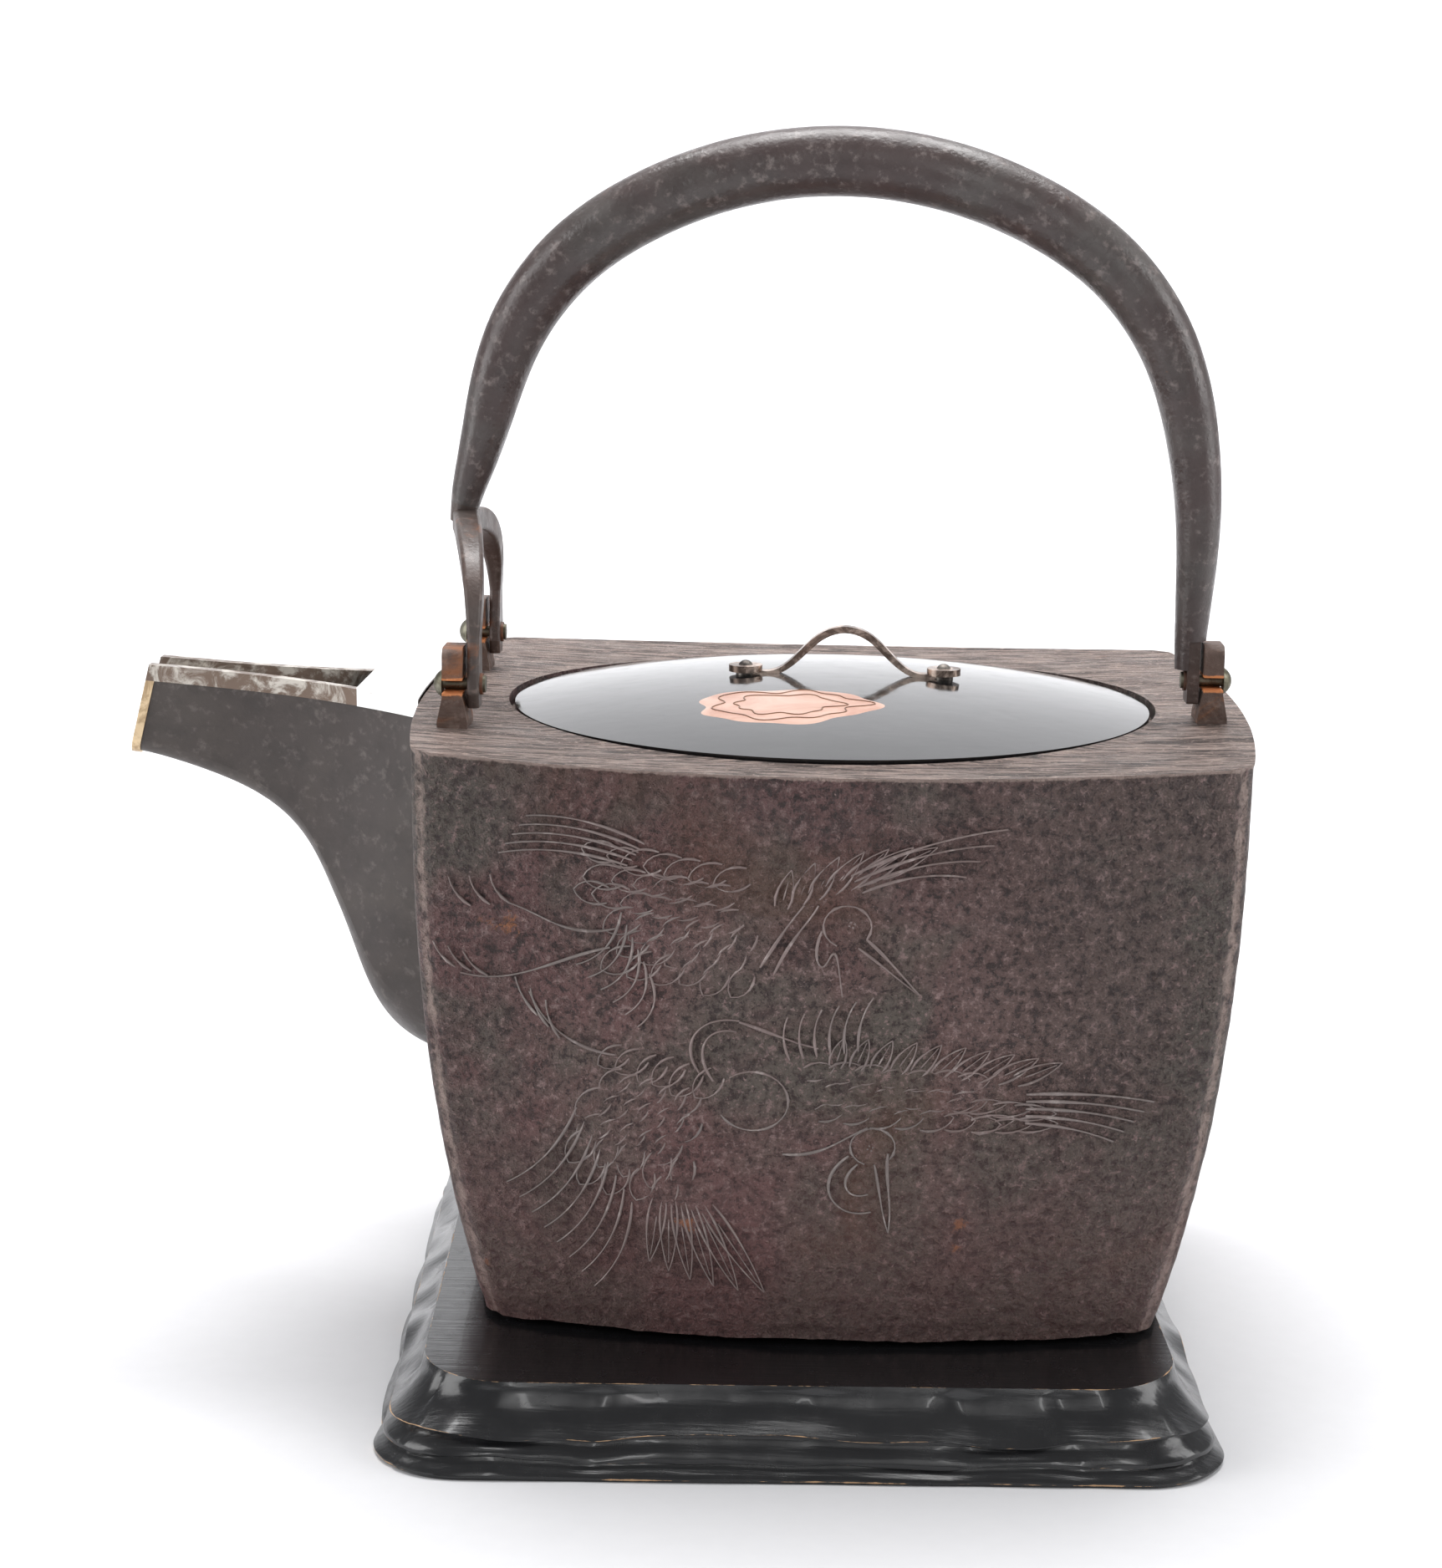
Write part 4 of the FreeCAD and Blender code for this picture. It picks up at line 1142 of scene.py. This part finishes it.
    def upper_bird(self) -> None:
        """The bird that flies above, its neck bent down to the right."""
        self.rows((-14.0, -19.5), (-37.0, -16.5), (-0.6, -3.7), 3, 7, (196.0, 176.0), (6.2, 3.9))
        self.rows((-13.0, -29.5), (-33.0, -27.5), (-0.4, -3.6), 3, 6, (238.0, 204.0), (6.0, 4.0))
        self.plumes(((-32.0, -14.5), (-35.0, -18.5)), ((-53.0, -10.5), (-58.0, -17.5)), 5, -2.0)
        self.plumes(((-36.0, -27.0), (-31.0, -38.0)), ((-44.0, -37.0), (-33.0, -48.0)), 6, 2.6)
        for index in range(7):
            share = index / 6
            self.feather((-8.0 + 17.0 * share, -25.0 + 6.5 * share), 76.0 - 50.0 * share,
                         7.0 + 4.0 * share, 3.2, 0.8, True)
        self.plumes(((4.0, -19.0), (6.0, -22.0)), ((31.0, -10.5), (24.0, -19.0)), 4, 1.8, 1.15)
        self.stroke((-9.0, -37.0), (-6.0, -30.0), (-3.0, -27.5), (-1.5, -24.5), 1.2)
        self.stroke((-11.5, -36.0), (-8.0, -30.0), (-6.0, -27.0), (-4.0, -24.5), 1.2)
        self.stroke((-0.8, -29.0), (-2.8, -33.5), (-1.0, -38.0), (0.6, -34.0), 1.1)
        self.stroke((0.6, -34.0), (2.0, -31.0), (2.2, -36.0), (3.0, -41.0), 1.0)
        self.ring((3.6, -28.2), (4.2, 3.8), (-35.0, 245.0))
        self.ring((4.4, -27.8), (0.5, 0.5))
        self.stroke((7.0, -30.4), (10.0, -33.0), (13.0, -36.5), (16.4, -40.4), 1.2)
        self.stroke((5.6, -32.0), (8.5, -34.0), (12.5, -37.5), (16.4, -40.4), 1.0)
        self.stroke((-37.0, -30.0), (-46.0, -32.5), (-50.0, -28.0), (-56.0, -26.5), 1.0)
        self.stroke((-38.0, -33.5), (-48.0, -36.0), (-55.0, -42.0), (-65.0, -40.0), 1.1)
        self.plumes(((-56.0, -26.5), (-63.0, -27.5)), ((-59.5, -21.5), (-67.0, -22.5)), 3, 1.0)
        self.plumes(((-60.0, -40.2), (-66.0, -39.0)), ((-64.5, -36.0), (-70.0, -34.5)), 3, 0.8)

    def lower_bird(self) -> None:
        """The bird below, both wings open, its neck looped under."""
        self.ring((-12.5, -61.0), (6.4, 5.6), (-150.0, 130.0))
        self.rows((-3.5, -55.5), (24.0, -57.0), (1.2, -3.9), 3, 7, (14.0, 6.0), (5.8, 3.7), 0.3)
        for index in range(10):
            share = index / 9
            self.feather((2.0 + 32.0 * share, -54.0 - 2.4 * share), 74.0 - 52.0 * share,
                         5.6 + 3.2 * share, 3.0, 0.7, True)
        self.rows((22.0, -61.5), (34.0, -62.0), (2.4, -3.2), 2, 4, (12.0, 0.0), (7.0, 3.0), 0.6)
        self.plumes(((36.0, -59.0), (36.0, -64.5)), ((59.0, -61.0), (52.0, -68.5)), 5, 1.0, 1.2)
        self.plumes(((-6.0, -53.0), (6.0, -51.0)), ((-6.5, -45.0), (8.5, -41.0)), 6, 1.2)
        self.rows((-19.0, -56.0), (-35.0, -52.5), (-1.8, -4.4), 4, 6, (232.0, 214.0), (6.2, 4.2))
        self.rows((-24.0, -73.0), (-42.0, -69.0), (-0.6, -4.2), 2, 5, (258.0, 236.0), (6.4, 4.2))
        self.plumes(((-44.0, -64.0), (-34.0, -82.0)), ((-57.0, -80.0), (-41.0, -100.0)), 8, 2.4)
        for index in range(6):
            share = index / 5
            self.feather((-29.0 + 8.5 * share, -81.0 - share), 262.0 + 40.0 * share,
                         13.0 + 7.0 * share, 3.4, 0.7, True)
        self.stroke((-19.5, -57.5), (-23.5, -52.0), (-21.0, -47.0), (-15.5, -48.0), 1.1)
        self.stroke((-22.0, -56.0), (-26.0, -50.5), (-22.0, -45.0), (-15.0, -46.0), 1.1)
        self.stroke((-15.0, -46.2), (-9.0, -48.0), (-5.0, -50.0), (-1.0, -50.6), 1.2)
        self.stroke((-37.0, -53.5), (-44.0, -53.0), (-50.0, -49.0), (-52.5, -42.5), 1.0)
        self.plumes(((-47.0, -51.0), (-51.0, -47.0)), ((-49.5, -44.0), (-55.0, -40.0)), 3, 0.8)
        self.stroke((-7.0, -71.0), (0.0, -71.5), (3.0, -68.0), (8.0, -65.5), 1.1)
        self.ring((9.0, -69.2), (4.0, 3.6), (-40.0, 250.0))
        self.ring((8.6, -69.4), (0.5, 0.5))
        self.stroke((11.8, -70.4), (11.2, -75.0), (13.0, -81.0), (12.2, -86.0), 1.2)
        self.stroke((9.4, -72.6), (10.4, -77.0), (10.8, -82.0), (12.2, -86.0), 1.0)
        self.stroke((4.8, -71.0), (-2.0, -76.0), (2.0, -84.0), (9.0, -82.0), 1.1)
        self.stroke((6.4, -72.6), (2.5, -76.0), (4.5, -80.0), (8.4, -78.5), 1.0)

    def build(self, material: bpy.types.Material) -> bpy.types.Object:
        """Draws both birds and lays their lines on the face.

        Args:
            material: the iron of the raised lines, paler than the walls.

        Returns:
            The piece.
        """
        self.upper_bird()
        self.lower_bird()
        curve = bpy.data.curves.new("bird_lines", "CURVE")
        curve.dimensions = "3D"
        curve.bevel_depth = self.line * MM
        curve.bevel_resolution = 1
        curve.use_fill_caps = True
        middle = pot_middle()
        for points, width in self.strokes:
            spline = curve.splines.new("POLY")
            spline.points.add(len(points) - 1)
            for index, (x, low) in enumerate(points):
                z = self.form.top_z + low
                place = middle + Vector((x, self.form.face_y(x, z) + self.sunk, z)) * MM
                spline.points[index].co = (*place, 1.0)
                share = index / (len(points) - 1)
                swollen = math.sin(math.pi * min(share * 1.6 + 0.12, 0.92))
                spline.points[index].radius = width * (0.35 + 0.65 * swollen)
        bm = meshed(curve)
        bmesh.ops.remove_doubles(bm, verts=bm.verts[:], dist=0.002 * MM)
        bmesh.ops.recalc_face_normals(bm, faces=bm.faces[:])
        return finished(bm, "pot_bird_relief", "pot", material, sharp=60.0)


# ---- lid ---------------------------------------------------------------------------------------


@dataclass
class LidPicture:
    """A small layered patch of coloured lacquer on the lid, with two brown contour lines.

    Sizes are in millimetres.
    """

    middle: Flat = (-8.5, -34.0)
    reach: Flat = (17.0, 12.5)
    thick: float = 0.16
    sunk: float = 0.05
    line: float = 0.16
    line_points: int = 90
    spokes: int = 120
    rings: int = 14
    lid_radius: float = 62.1
    lid_rise: float = 5.8
    lid_shift: float = -4.0
    rim_z: float = 124.2

    def dome_z(self, x: float, y: float) -> float:
        """Height of the lid's top.

        Args:
            x: across, from the pot's middle, in millimetres.
            y: to the back, from the pot's middle.

        Returns:
            The height in millimetres.
        """
        ball = (self.lid_radius ** 2 + self.lid_rise ** 2) / (2 * self.lid_rise)
        return self.rim_z + self.lid_rise - ball + math.sqrt(ball ** 2 - x * x - (y - self.lid_shift) ** 2)

    def outline(self, angle: float) -> Flat:
        """The patch's edge in a direction: a leaf-like blot with soft lobes.

        Args:
            angle: the direction, in radians from +X.

        Returns:
            x and y from the patch's middle, in millimetres.
        """
        wave = 1.0 + 0.06 * math.sin(3 * angle + 0.6) + 0.05 * math.sin(5 * angle + 2.0) \
            + 0.03 * math.sin(9 * angle + 1.0)
        return self.reach[0] * wave * math.cos(angle), self.reach[1] * wave * math.sin(angle)

    def place(self, x: float, y: float, lift: float) -> Vector:
        """A point over the lid.

        Args:
            x: across, from the patch's middle, in millimetres.
            y: to the back, from the patch's middle.
            lift: height over the lid's skin.

        Returns:
            The point, in metres in the row frame.
        """
        flat_x, flat_y = x + self.middle[0], y + self.middle[1]
        return pot_middle() + Vector((flat_x, flat_y, self.dome_z(flat_x, flat_y) + lift)) * MM

    def build(self, material: bpy.types.Material, line: bpy.types.Material) -> None:
        """Models the patch and its contour lines.

        Args:
            material: the coloured lacquer.
            line: the brown lines.
        """
        bm = bmesh.new()
        verts = [bm.verts.new((index / self.rings, 0.0, 0.0)) for index in range(self.rings + 1)]
        edges = [bm.edges.new(pair) for pair in zip(verts, verts[1:])]
        bmesh.ops.spin(bm, geom=verts + edges, axis=(0, 0, 1), cent=(0, 0, 0), dvec=(0, 0, 0),
                       angle=math.tau, steps=self.spokes, use_merge=True, use_duplicate=False)
        bmesh.ops.remove_doubles(bm, verts=bm.verts[:], dist=1e-5)
        for vert in bm.verts:
            angle, out = math.atan2(vert.co.y, vert.co.x), math.hypot(vert.co.x, vert.co.y)
            edge_x, edge_y = self.outline(angle)
            lift = self.thick if out < 0.99 else -self.sunk
            vert.co = self.place(edge_x * out, edge_y * out, lift)
        bmesh.ops.recalc_face_normals(bm, faces=bm.faces[:])
        if sum(face.normal.z for face in bm.faces) < 0:
            bmesh.ops.reverse_faces(bm, faces=bm.faces[:])
        finished(bm, "lid_picture", "lid", material, sharp=60.0)
        curve = bpy.data.curves.new("lid_picture_lines", "CURVE")
        curve.dimensions = "3D"
        curve.bevel_depth = self.line * MM
        curve.bevel_resolution = 1
        for share, phase in ((0.80, 0.3), (0.56, 1.4)):
            spline = curve.splines.new("POLY")
            spline.points.add(self.line_points - 1)
            spline.use_cyclic_u = True
            for index in range(self.line_points):
                angle = math.tau * index / self.line_points
                edge_x, edge_y = self.outline(angle)
                waves = 0.09 * math.sin(6 * angle + phase) + 0.05 * math.sin(10 * angle + 2 * phase)
                part = share * (1.0 + waves)
                spline.points[index].co = (*self.place(edge_x * part, edge_y * part, self.thick), 1.0)
        bm = meshed(curve)
        bmesh.ops.recalc_face_normals(bm, faces=bm.faces[:])
        finished(bm, "lid_picture_lines", "lid", line, sharp=60.0)


# ---- stand -------------------------------------------------------------------------------------


@dataclass
class CarvedStand:
    """The wooden stand: a flat top over a cove, a wavy ledge and a gouged foot.

    Sizes are in millimetres and the turn about the upright axis in degrees.
    """

    half_x: float = 68.1
    half_y: float = 75.6
    height: float = 15.0
    flare: float = 8.7
    corner: float = 16.0
    yaw: float = 2.4
    across: int = 104
    along: int = 112
    bands: tuple[int, int, int] = (15, 10, 10)
    ledge_z: float = 7.4
    groove_z: float = 3.3
    cove_reach: float = 5.6
    ledge_reach: float = 5.9
    belly_reach: float = 2.1
    foot_reach: float = 7.0
    scallop_length: float = 27.0

    def plan(self, u: float, v: float, out: float) -> Flat:
        """Place of a point of the unit square in the stand's plan, moved out."""
        return rounded_square(u, v, self.half_x + out, self.half_y + out, self.corner)

    def waves(self, u: float, v: float) -> tuple[float, float, float]:
        """Height of the ledge, height of the lower groove, and depth of the gouges, round the stand.

        Args:
            u: -1 to 1 across X.
            v: -1 to 1 across Y.

        Returns:
            Ledge height, groove height and gouge depth, in millimetres.
        """
        x, y = u * self.half_x, v * self.half_y
        spot = Vector((x, y, 0.0))
        ledge = self.ledge_z + 2.2 * noise.noise(spot * 0.035 + Vector((0, 0, 4.0))) \
            + 0.8 * noise.noise(spot * 0.11 + Vector((0, 0, 7.0)))
        groove = self.groove_z + 1.9 * noise.noise(spot * 0.045 + Vector((0, 0, 11.0))) \
            + 0.5 * noise.noise(spot * 0.15 + Vector((0, 0, 15.0)))
        walk = y if abs(u) > abs(v) else x
        scallop = abs(math.sin(walk / self.scallop_length * math.pi + 2.0 * noise.noise(spot * 0.02)))
        bite = 1.6 if abs(u) > abs(v) else 0.7
        depth = bite * (1.0 - scallop ** 0.6) + 0.5 * noise.noise(spot * 0.08)
        return ledge, min(groove, ledge - 1.6), max(depth, 0.0)

    def side(self, level: int, u: float, v: float) -> Flat:
        """One level of the carved side.

        Args:
            level: number of rows down from the top's outline.
            u: -1 to 1 across X.
            v: -1 to 1 across Y.

        Returns:
            Its height, and how far it stands out from the top's outline.
        """
        ledge, groove, depth = self.waves(u, v)
        cove, belly, foot = self.bands
        if level <= cove:
            share = level / cove
            out = self.cove_reach * share ** 1.8 + 0.3 * soft_step(0.0, 0.1, share)
            out -= 1.1 * math.sin(math.pi * min(share * 1.1, 1.0)) * depth
            return self.height - (self.height - ledge) * share, out
        if level <= cove + belly:
            share = (level - cove) / belly
            out = self.ledge_reach - soft_step(0.0, 0.12, share)
            out += self.belly_reach * soft_step(0.1, 0.9, share)
            out -= 0.8 * math.sin(math.pi * share) * depth
            return ledge - (ledge - groove) * share, out
        share = (level - cove - belly) / foot
        z = groove * (1.0 - share)
        out = self.foot_reach - 0.5 * soft_step(0.0, 0.1, share) + 2.2 * soft_step(0.05, 0.8, share)
        out -= 0.7 * math.sin(math.pi * share) * depth
        if z < 1.2:
            out -= 0.7 * (1.0 - z / 1.2) ** 2
        return z, min(out, self.flare)

    def build(self, material: bpy.types.Material) -> bpy.types.Object:
        """Models the stand.

        Args:
            material: its lacquer.

        Returns:
            The piece.
        """
        bm = bmesh.new()
        bmesh.ops.create_grid(bm, x_segments=self.across, y_segments=self.along, size=1.0)
        edge = bm.verts.layers.float.new("edge")
        square = bm.verts.layers.float_vector.new("square")
        for vert in bm.verts:
            u, v, _ = vert[square] = vert.co.copy()
            x, y = self.plan(u, v, 0.0)
            vert.co = (x, y, self.height)
            if vert.is_boundary:
                vert[edge] = 0.98 + 0.16 * noise.noise(vert.co * 0.07)
        rim = [e for e in bm.edges if e.is_boundary]
        for level in range(1, sum(self.bands) + 1):
            made = bmesh.ops.extrude_edge_only(bm, edges=rim)["geom"]
            rim = [item for item in made if isinstance(item, bmesh.types.BMEdge)]
            for vert in (item for item in made if isinstance(item, bmesh.types.BMVert)):
                u, v, _ = vert[square]
                ledge, groove, _ = self.waves(u, v)
                z, out = self.side(level, u, v)
                x, y = self.plan(u, v, out)
                vert.co = (x, y, z)
                on_ledge = math.exp(-((z - ledge) / 0.35) ** 2)
                on_groove = 0.9 * math.exp(-((z - groove) / 0.3) ** 2)
                on_foot = math.exp(-((z - 0.6) / 0.5) ** 2)
                wear = 0.95 + 0.3 * noise.noise(Vector((x, y, 20.0)) * 0.05)
                vert[edge] = max(on_ledge, on_groove, on_foot) * wear
        bmesh.ops.contextual_create(bm, geom=rim)
        bmesh.ops.recalc_face_normals(bm, faces=bm.faces[:])
        turn = Matrix.Rotation(math.radians(self.yaw), 4, "Z")
        bmesh.ops.transform(bm, matrix=turn @ Matrix.Scale(MM, 4), verts=bm.verts[:])
        return finished(bm, "stand_carved", "stand", material, ["stand"], sharp=28.0)


# ---- studio ------------------------------------------------------------------------------------


@dataclass
class Studio:
    """Paper sweep, soft lights and the camera.

    The camera's place is in millimetres, its angles are in radians, and the rest is in metres.
    """

    eye: tuple[float, float, float] = (4.84, -570.85, 220.31)
    azimuth: float = 0.0355
    elevation: float = 0.1933
    roll: float = 0.0152
    lens: float = 68.1
    half_floor: float = 2.6
    backdrop: float = 3.0
    bend: float = 1.6
    aim: tuple[float, float, float] = (0.0, 0.0, 0.10)
    surround: float = 0.335

    def paper(self, material: bpy.types.Material) -> None:
        """A floor that curves up behind the kettle.

        Args:
            material: the paper.
        """
        bm = bmesh.new()
        bmesh.ops.create_grid(bm, x_segments=1, y_segments=1, size=self.half_floor)
        back = [edge for edge in bm.edges if all(vert.co.y > 0.0 for vert in edge.verts)]
        raised = bmesh.ops.extrude_edge_only(bm, edges=back)["geom"]
        bmesh.ops.translate(bm, vec=(0, 0, self.backdrop),
                            verts=[item for item in raised if isinstance(item, bmesh.types.BMVert)])
        fold = [edge for edge in bm.edges
                if all(vert.co.y > 0.0 and abs(vert.co.z) < MM for vert in edge.verts)]
        bmesh.ops.bevel(bm, geom=fold, offset=self.bend, offset_type="OFFSET", affect="EDGES", segments=24,
                        profile=0.5, material=-1)
        bmesh.ops.recalc_face_normals(bm, faces=bm.faces[:])
        for face in bm.faces:
            face.smooth = True
        mesh = bpy.data.meshes.new("paper_sweep")
        bm.to_mesh(mesh)
        bm.free()
        mesh.materials.append(material)
        floor = bpy.data.objects.new("paper_sweep", mesh)
        bpy.context.scene.collection.objects.link(floor)

    def softbox(self, name: str, place: Sequence[float], target: Sequence[float], size: Flat,
                power: float) -> None:
        """A rectangular lamp aimed at a point.

        Args:
            name: the lamp's name.
            place: where it hangs, metres.
            target: what it points at.
            size: width and height.
            power: watts.
        """
        lamp = bpy.data.lights.new(name, "AREA")
        lamp.shape = "RECTANGLE"
        lamp.size, lamp.size_y = size
        lamp.energy = power
        holder = bpy.data.objects.new(name, lamp)
        holder.location = place
        holder.rotation_euler = (Vector(target) - Vector(place)).to_track_quat("-Z", "Y").to_euler()
        bpy.context.scene.collection.objects.link(holder)

    def lights(self) -> None:
        """Overhead, side and front softboxes and a pale surround."""
        bank, strip = (0.7, 1.1), (0.05, 0.9)
        self.softbox("overhead", (0.0, 0.35, 1.5), self.aim, (1.0, 0.8), 25.0)
        self.softbox("left_bank", (-1.25, -0.35, 0.55), self.aim, bank, 10.0)
        self.softbox("right_bank", (1.25, -0.15, 0.60), self.aim, bank, 10.0)
        self.softbox("front_left_strip", (-0.12, -1.45, 0.75), self.aim, strip, 1.8)
        self.softbox("front_right_strip", (0.36, -1.45, 0.75), self.aim, strip, 1.8)
        self.softbox("backdrop_wash", (0.0, 0.9, 1.9), (0.0, 2.6, 0.7), (2.4, 1.0), 62.0)
        world = bpy.data.worlds.new("surround")
        world.use_nodes = True
        background = world.node_tree.nodes["Background"]
        background.inputs["Color"].default_value = (0.97, 0.98, 1.0, 1.0)
        background.inputs["Strength"].default_value = self.surround
        bpy.context.scene.world = world

    def camera(self) -> None:
        """The camera in front, a little above the pot's top."""
        back = Vector((math.sin(self.azimuth) * math.cos(self.elevation),
                       -math.cos(self.azimuth) * math.cos(self.elevation), math.sin(self.elevation)))
        right = (-back).cross(Vector((0, 0, 1))).normalized()
        up = right.cross(-back)
        turned_right = right * math.cos(self.roll) + up * math.sin(self.roll)
        turned_up = up * math.cos(self.roll) - right * math.sin(self.roll)
        data = bpy.data.cameras.new("camera")
        data.lens = self.lens
        data.sensor_width = 36.0
        data.clip_start, data.clip_end = 0.01, 20.0
        holder = bpy.data.objects.new("camera", data)
        holder.matrix_world = Matrix.Translation(Vector(self.eye) * MM) @ Matrix(
            (turned_right, turned_up, back)).transposed().to_4x4()
        bpy.context.scene.collection.objects.link(holder)
        bpy.context.scene.camera = holder

    def build(self) -> None:
        """Sets up the whole studio."""
        self.paper(PaperFinish("studio_paper", (0.69, 0.69, 0.705)).make())
        self.lights()
        self.camera()
        bpy.context.scene.view_settings.view_transform = "Standard"


# ---- everything --------------------------------------------------------------------------------

# colours of old iron, among them a pale one for painted glints, and of bare wood, and the height of the
# handle's pins in millimetres
PURPLE_BROWN = (0.155, 0.074, 0.070)
GREY_GREEN = (0.112, 0.090, 0.074)
PAINTED_GLINT_IRON = (0.27, 0.18, 0.17)
RUST = (0.26, 0.095, 0.035)
CHIPPED_WOOD = (0.62, 0.38, 0.20)
PIN_Z = 132.4


def dress_ironwork() -> None:
    """Finishes for the lugs, the spout and the handle, which keep their CAD form."""
    lug = IronFinish("lug_rusty_iron", (0.10, 0.060, 0.045), (0.13, 0.085, 0.07), (0.24, 0.17, 0.14),
                     (0.30, 0.11, 0.04), rust_share=1.1, roughness=0.62, grain=Grain.SAND, relief=0.7,
                     painted_lit_rust_at=PIN_Z * MM).make()
    spout = IronFinish("spout_smooth_iron", (0.054, 0.042, 0.038), (0.066, 0.053, 0.046),
                       (0.13, 0.11, 0.10), RUST, rust_share=0.35, roughness=0.42, grain=Grain.SMOOTH,
                       relief=0.5).make()
    forged = IronFinish("handle_forged_iron", (0.062, 0.043, 0.041), (0.078, 0.068, 0.064),
                        (0.20, 0.165, 0.155), RUST, rust_share=0.4, roughness=0.33,
                        grain=Grain.FORGED, relief=0.55).make()
    foot = IronFinish("handle_foot_iron", (0.075, 0.043, 0.034), (0.078, 0.060, 0.053),
                      (0.20, 0.15, 0.13), (0.27, 0.10, 0.04), rust_share=0.75, roughness=0.42,
                      grain=Grain.FORGED, relief=0.5).make()
    washer = IronFinish("rusty_washer_iron", (0.12, 0.06, 0.04), (0.10, 0.06, 0.05), (0.24, 0.13, 0.09),
                        (0.28, 0.10, 0.04), rust_share=1.3, roughness=0.6, grain=Grain.SAND,
                        relief=0.4).make()
    dress(lug, "lug_front_left", "lug_rear_left", "lug_right")
    dress(spout, "spout")
    dress(forged, "handle_hoop")
    dress(foot, "handle_fork", "handle_end_tab")
    dress(washer, "pin_washer_front_left", "pin_washer_rear_left", "pin_washer_right")


def dress_fittings() -> None:
    """Finishes for the silver, gilt and bronze pieces."""
    band = SheetFinish("silver_band_tarnished", (0.62, 0.58, 0.52), (0.20, 0.15, 0.12),
                       tarnished=0.62, roughness=0.30, wrinkle=0.18).make()
    cover = SheetFinish("silver_cover_bright", (0.90, 0.90, 0.89), (0.62, 0.60, 0.58),
                        tarnished=0.12, roughness=0.30, wrinkle=0.35).make()
    strip = SheetFinish("gilt_strip_worn", (0.72, 0.56, 0.36), (0.42, 0.30, 0.18),
                        tarnished=0.4, roughness=0.32, wrinkle=0.05).make()
    pin = SheetFinish("bronze_pin_dull", (0.24, 0.23, 0.18), (0.12, 0.11, 0.08),
                      tarnished=0.55, roughness=0.42, wrinkle=0.1).make()
    bail = SheetFinish("bail_worn_bronze", (0.60, 0.48, 0.41), (0.16, 0.12, 0.10),
                       tarnished=0.62, roughness=0.26, wrinkle=0.05).make()
    dark = SheetFinish("bail_fittings_dark", (0.22, 0.20, 0.18), (0.08, 0.07, 0.065),
                       tarnished=0.6, roughness=0.36, wrinkle=0.05).make()
    dress(band, "spout_band_front", "spout_band_back")
    dress(cover, "spout_bridge")
    dress(strip, "spout_mouth_strip")
    dress(pin, "handle_pin_front_left", "handle_pin_rear_left", "handle_pin_right")
    dress(bail, "lid_bail")
    dress(dark, "lid_rivets", "lid_rosettes", "lid_burr_washers")


def make_pot() -> None:
    """The pot's skin and the two birds on it."""
    walls = IronFinish("pot_walls", PURPLE_BROWN, GREY_GREEN, PAINTED_GLINT_IRON, RUST, rust_share=0.5,
                       roughness=0.46, grain=Grain.SAND)
    iron = PotFinish("pot_cast_iron", walls, top_tint=(0.46, 0.345, 0.30), top_dark=(0.060, 0.038, 0.030))
    relief = BirdRelief()
    PotSkin().build(iron.make(), relief.calm, relief.swell)
    raised = IronFinish("bird_lines_iron", (0.22, 0.165, 0.155), (0.20, 0.17, 0.16), (0.42, 0.36, 0.34),
                        RUST, rust_share=0.3, roughness=0.45, grain=Grain.SMOOTH, relief=0.4)
    relief.build(raised.make())


def make_lid() -> None:
    """The lid's lacquer and the picture on it."""
    lacquer = LacquerFinish("lid_black_lacquer", (0.006, 0.006, 0.006), (0.010, 0.010, 0.010),
                            CHIPPED_WOOD, roughness=0.07, brushed=0.004)
    dress(lacquer.make(), "lid_disc", "lid_locating_ring")
    salmon = PictureFinish("picture_salmon", (0.62, 0.39, 0.30), (0.50, 0.27, 0.20))
    brown = PictureFinish("picture_brown", (0.22, 0.10, 0.04), (0.14, 0.06, 0.03))
    LidPicture().build(salmon.make(), brown.make())


def make_stand() -> None:
    """The carved stand."""
    wood = LacquerFinish("stand_black_lacquer", (0.006, 0.006, 0.007), (0.012, 0.012, 0.013),
                         CHIPPED_WOOD, roughness=0.20, brushed=0.08, chipped=True)
    CarvedStand().build(wood.make())


def main() -> None:
    """Builds and dresses every piece, then the studio."""
    make_pot()
    dress_ironwork()
    dress_fittings()
    make_lid()
    make_stand()
    Studio().build()


if __name__ == "__main__":
    logging.basicConfig(level=logging.INFO, format="%(message)s")
    main()
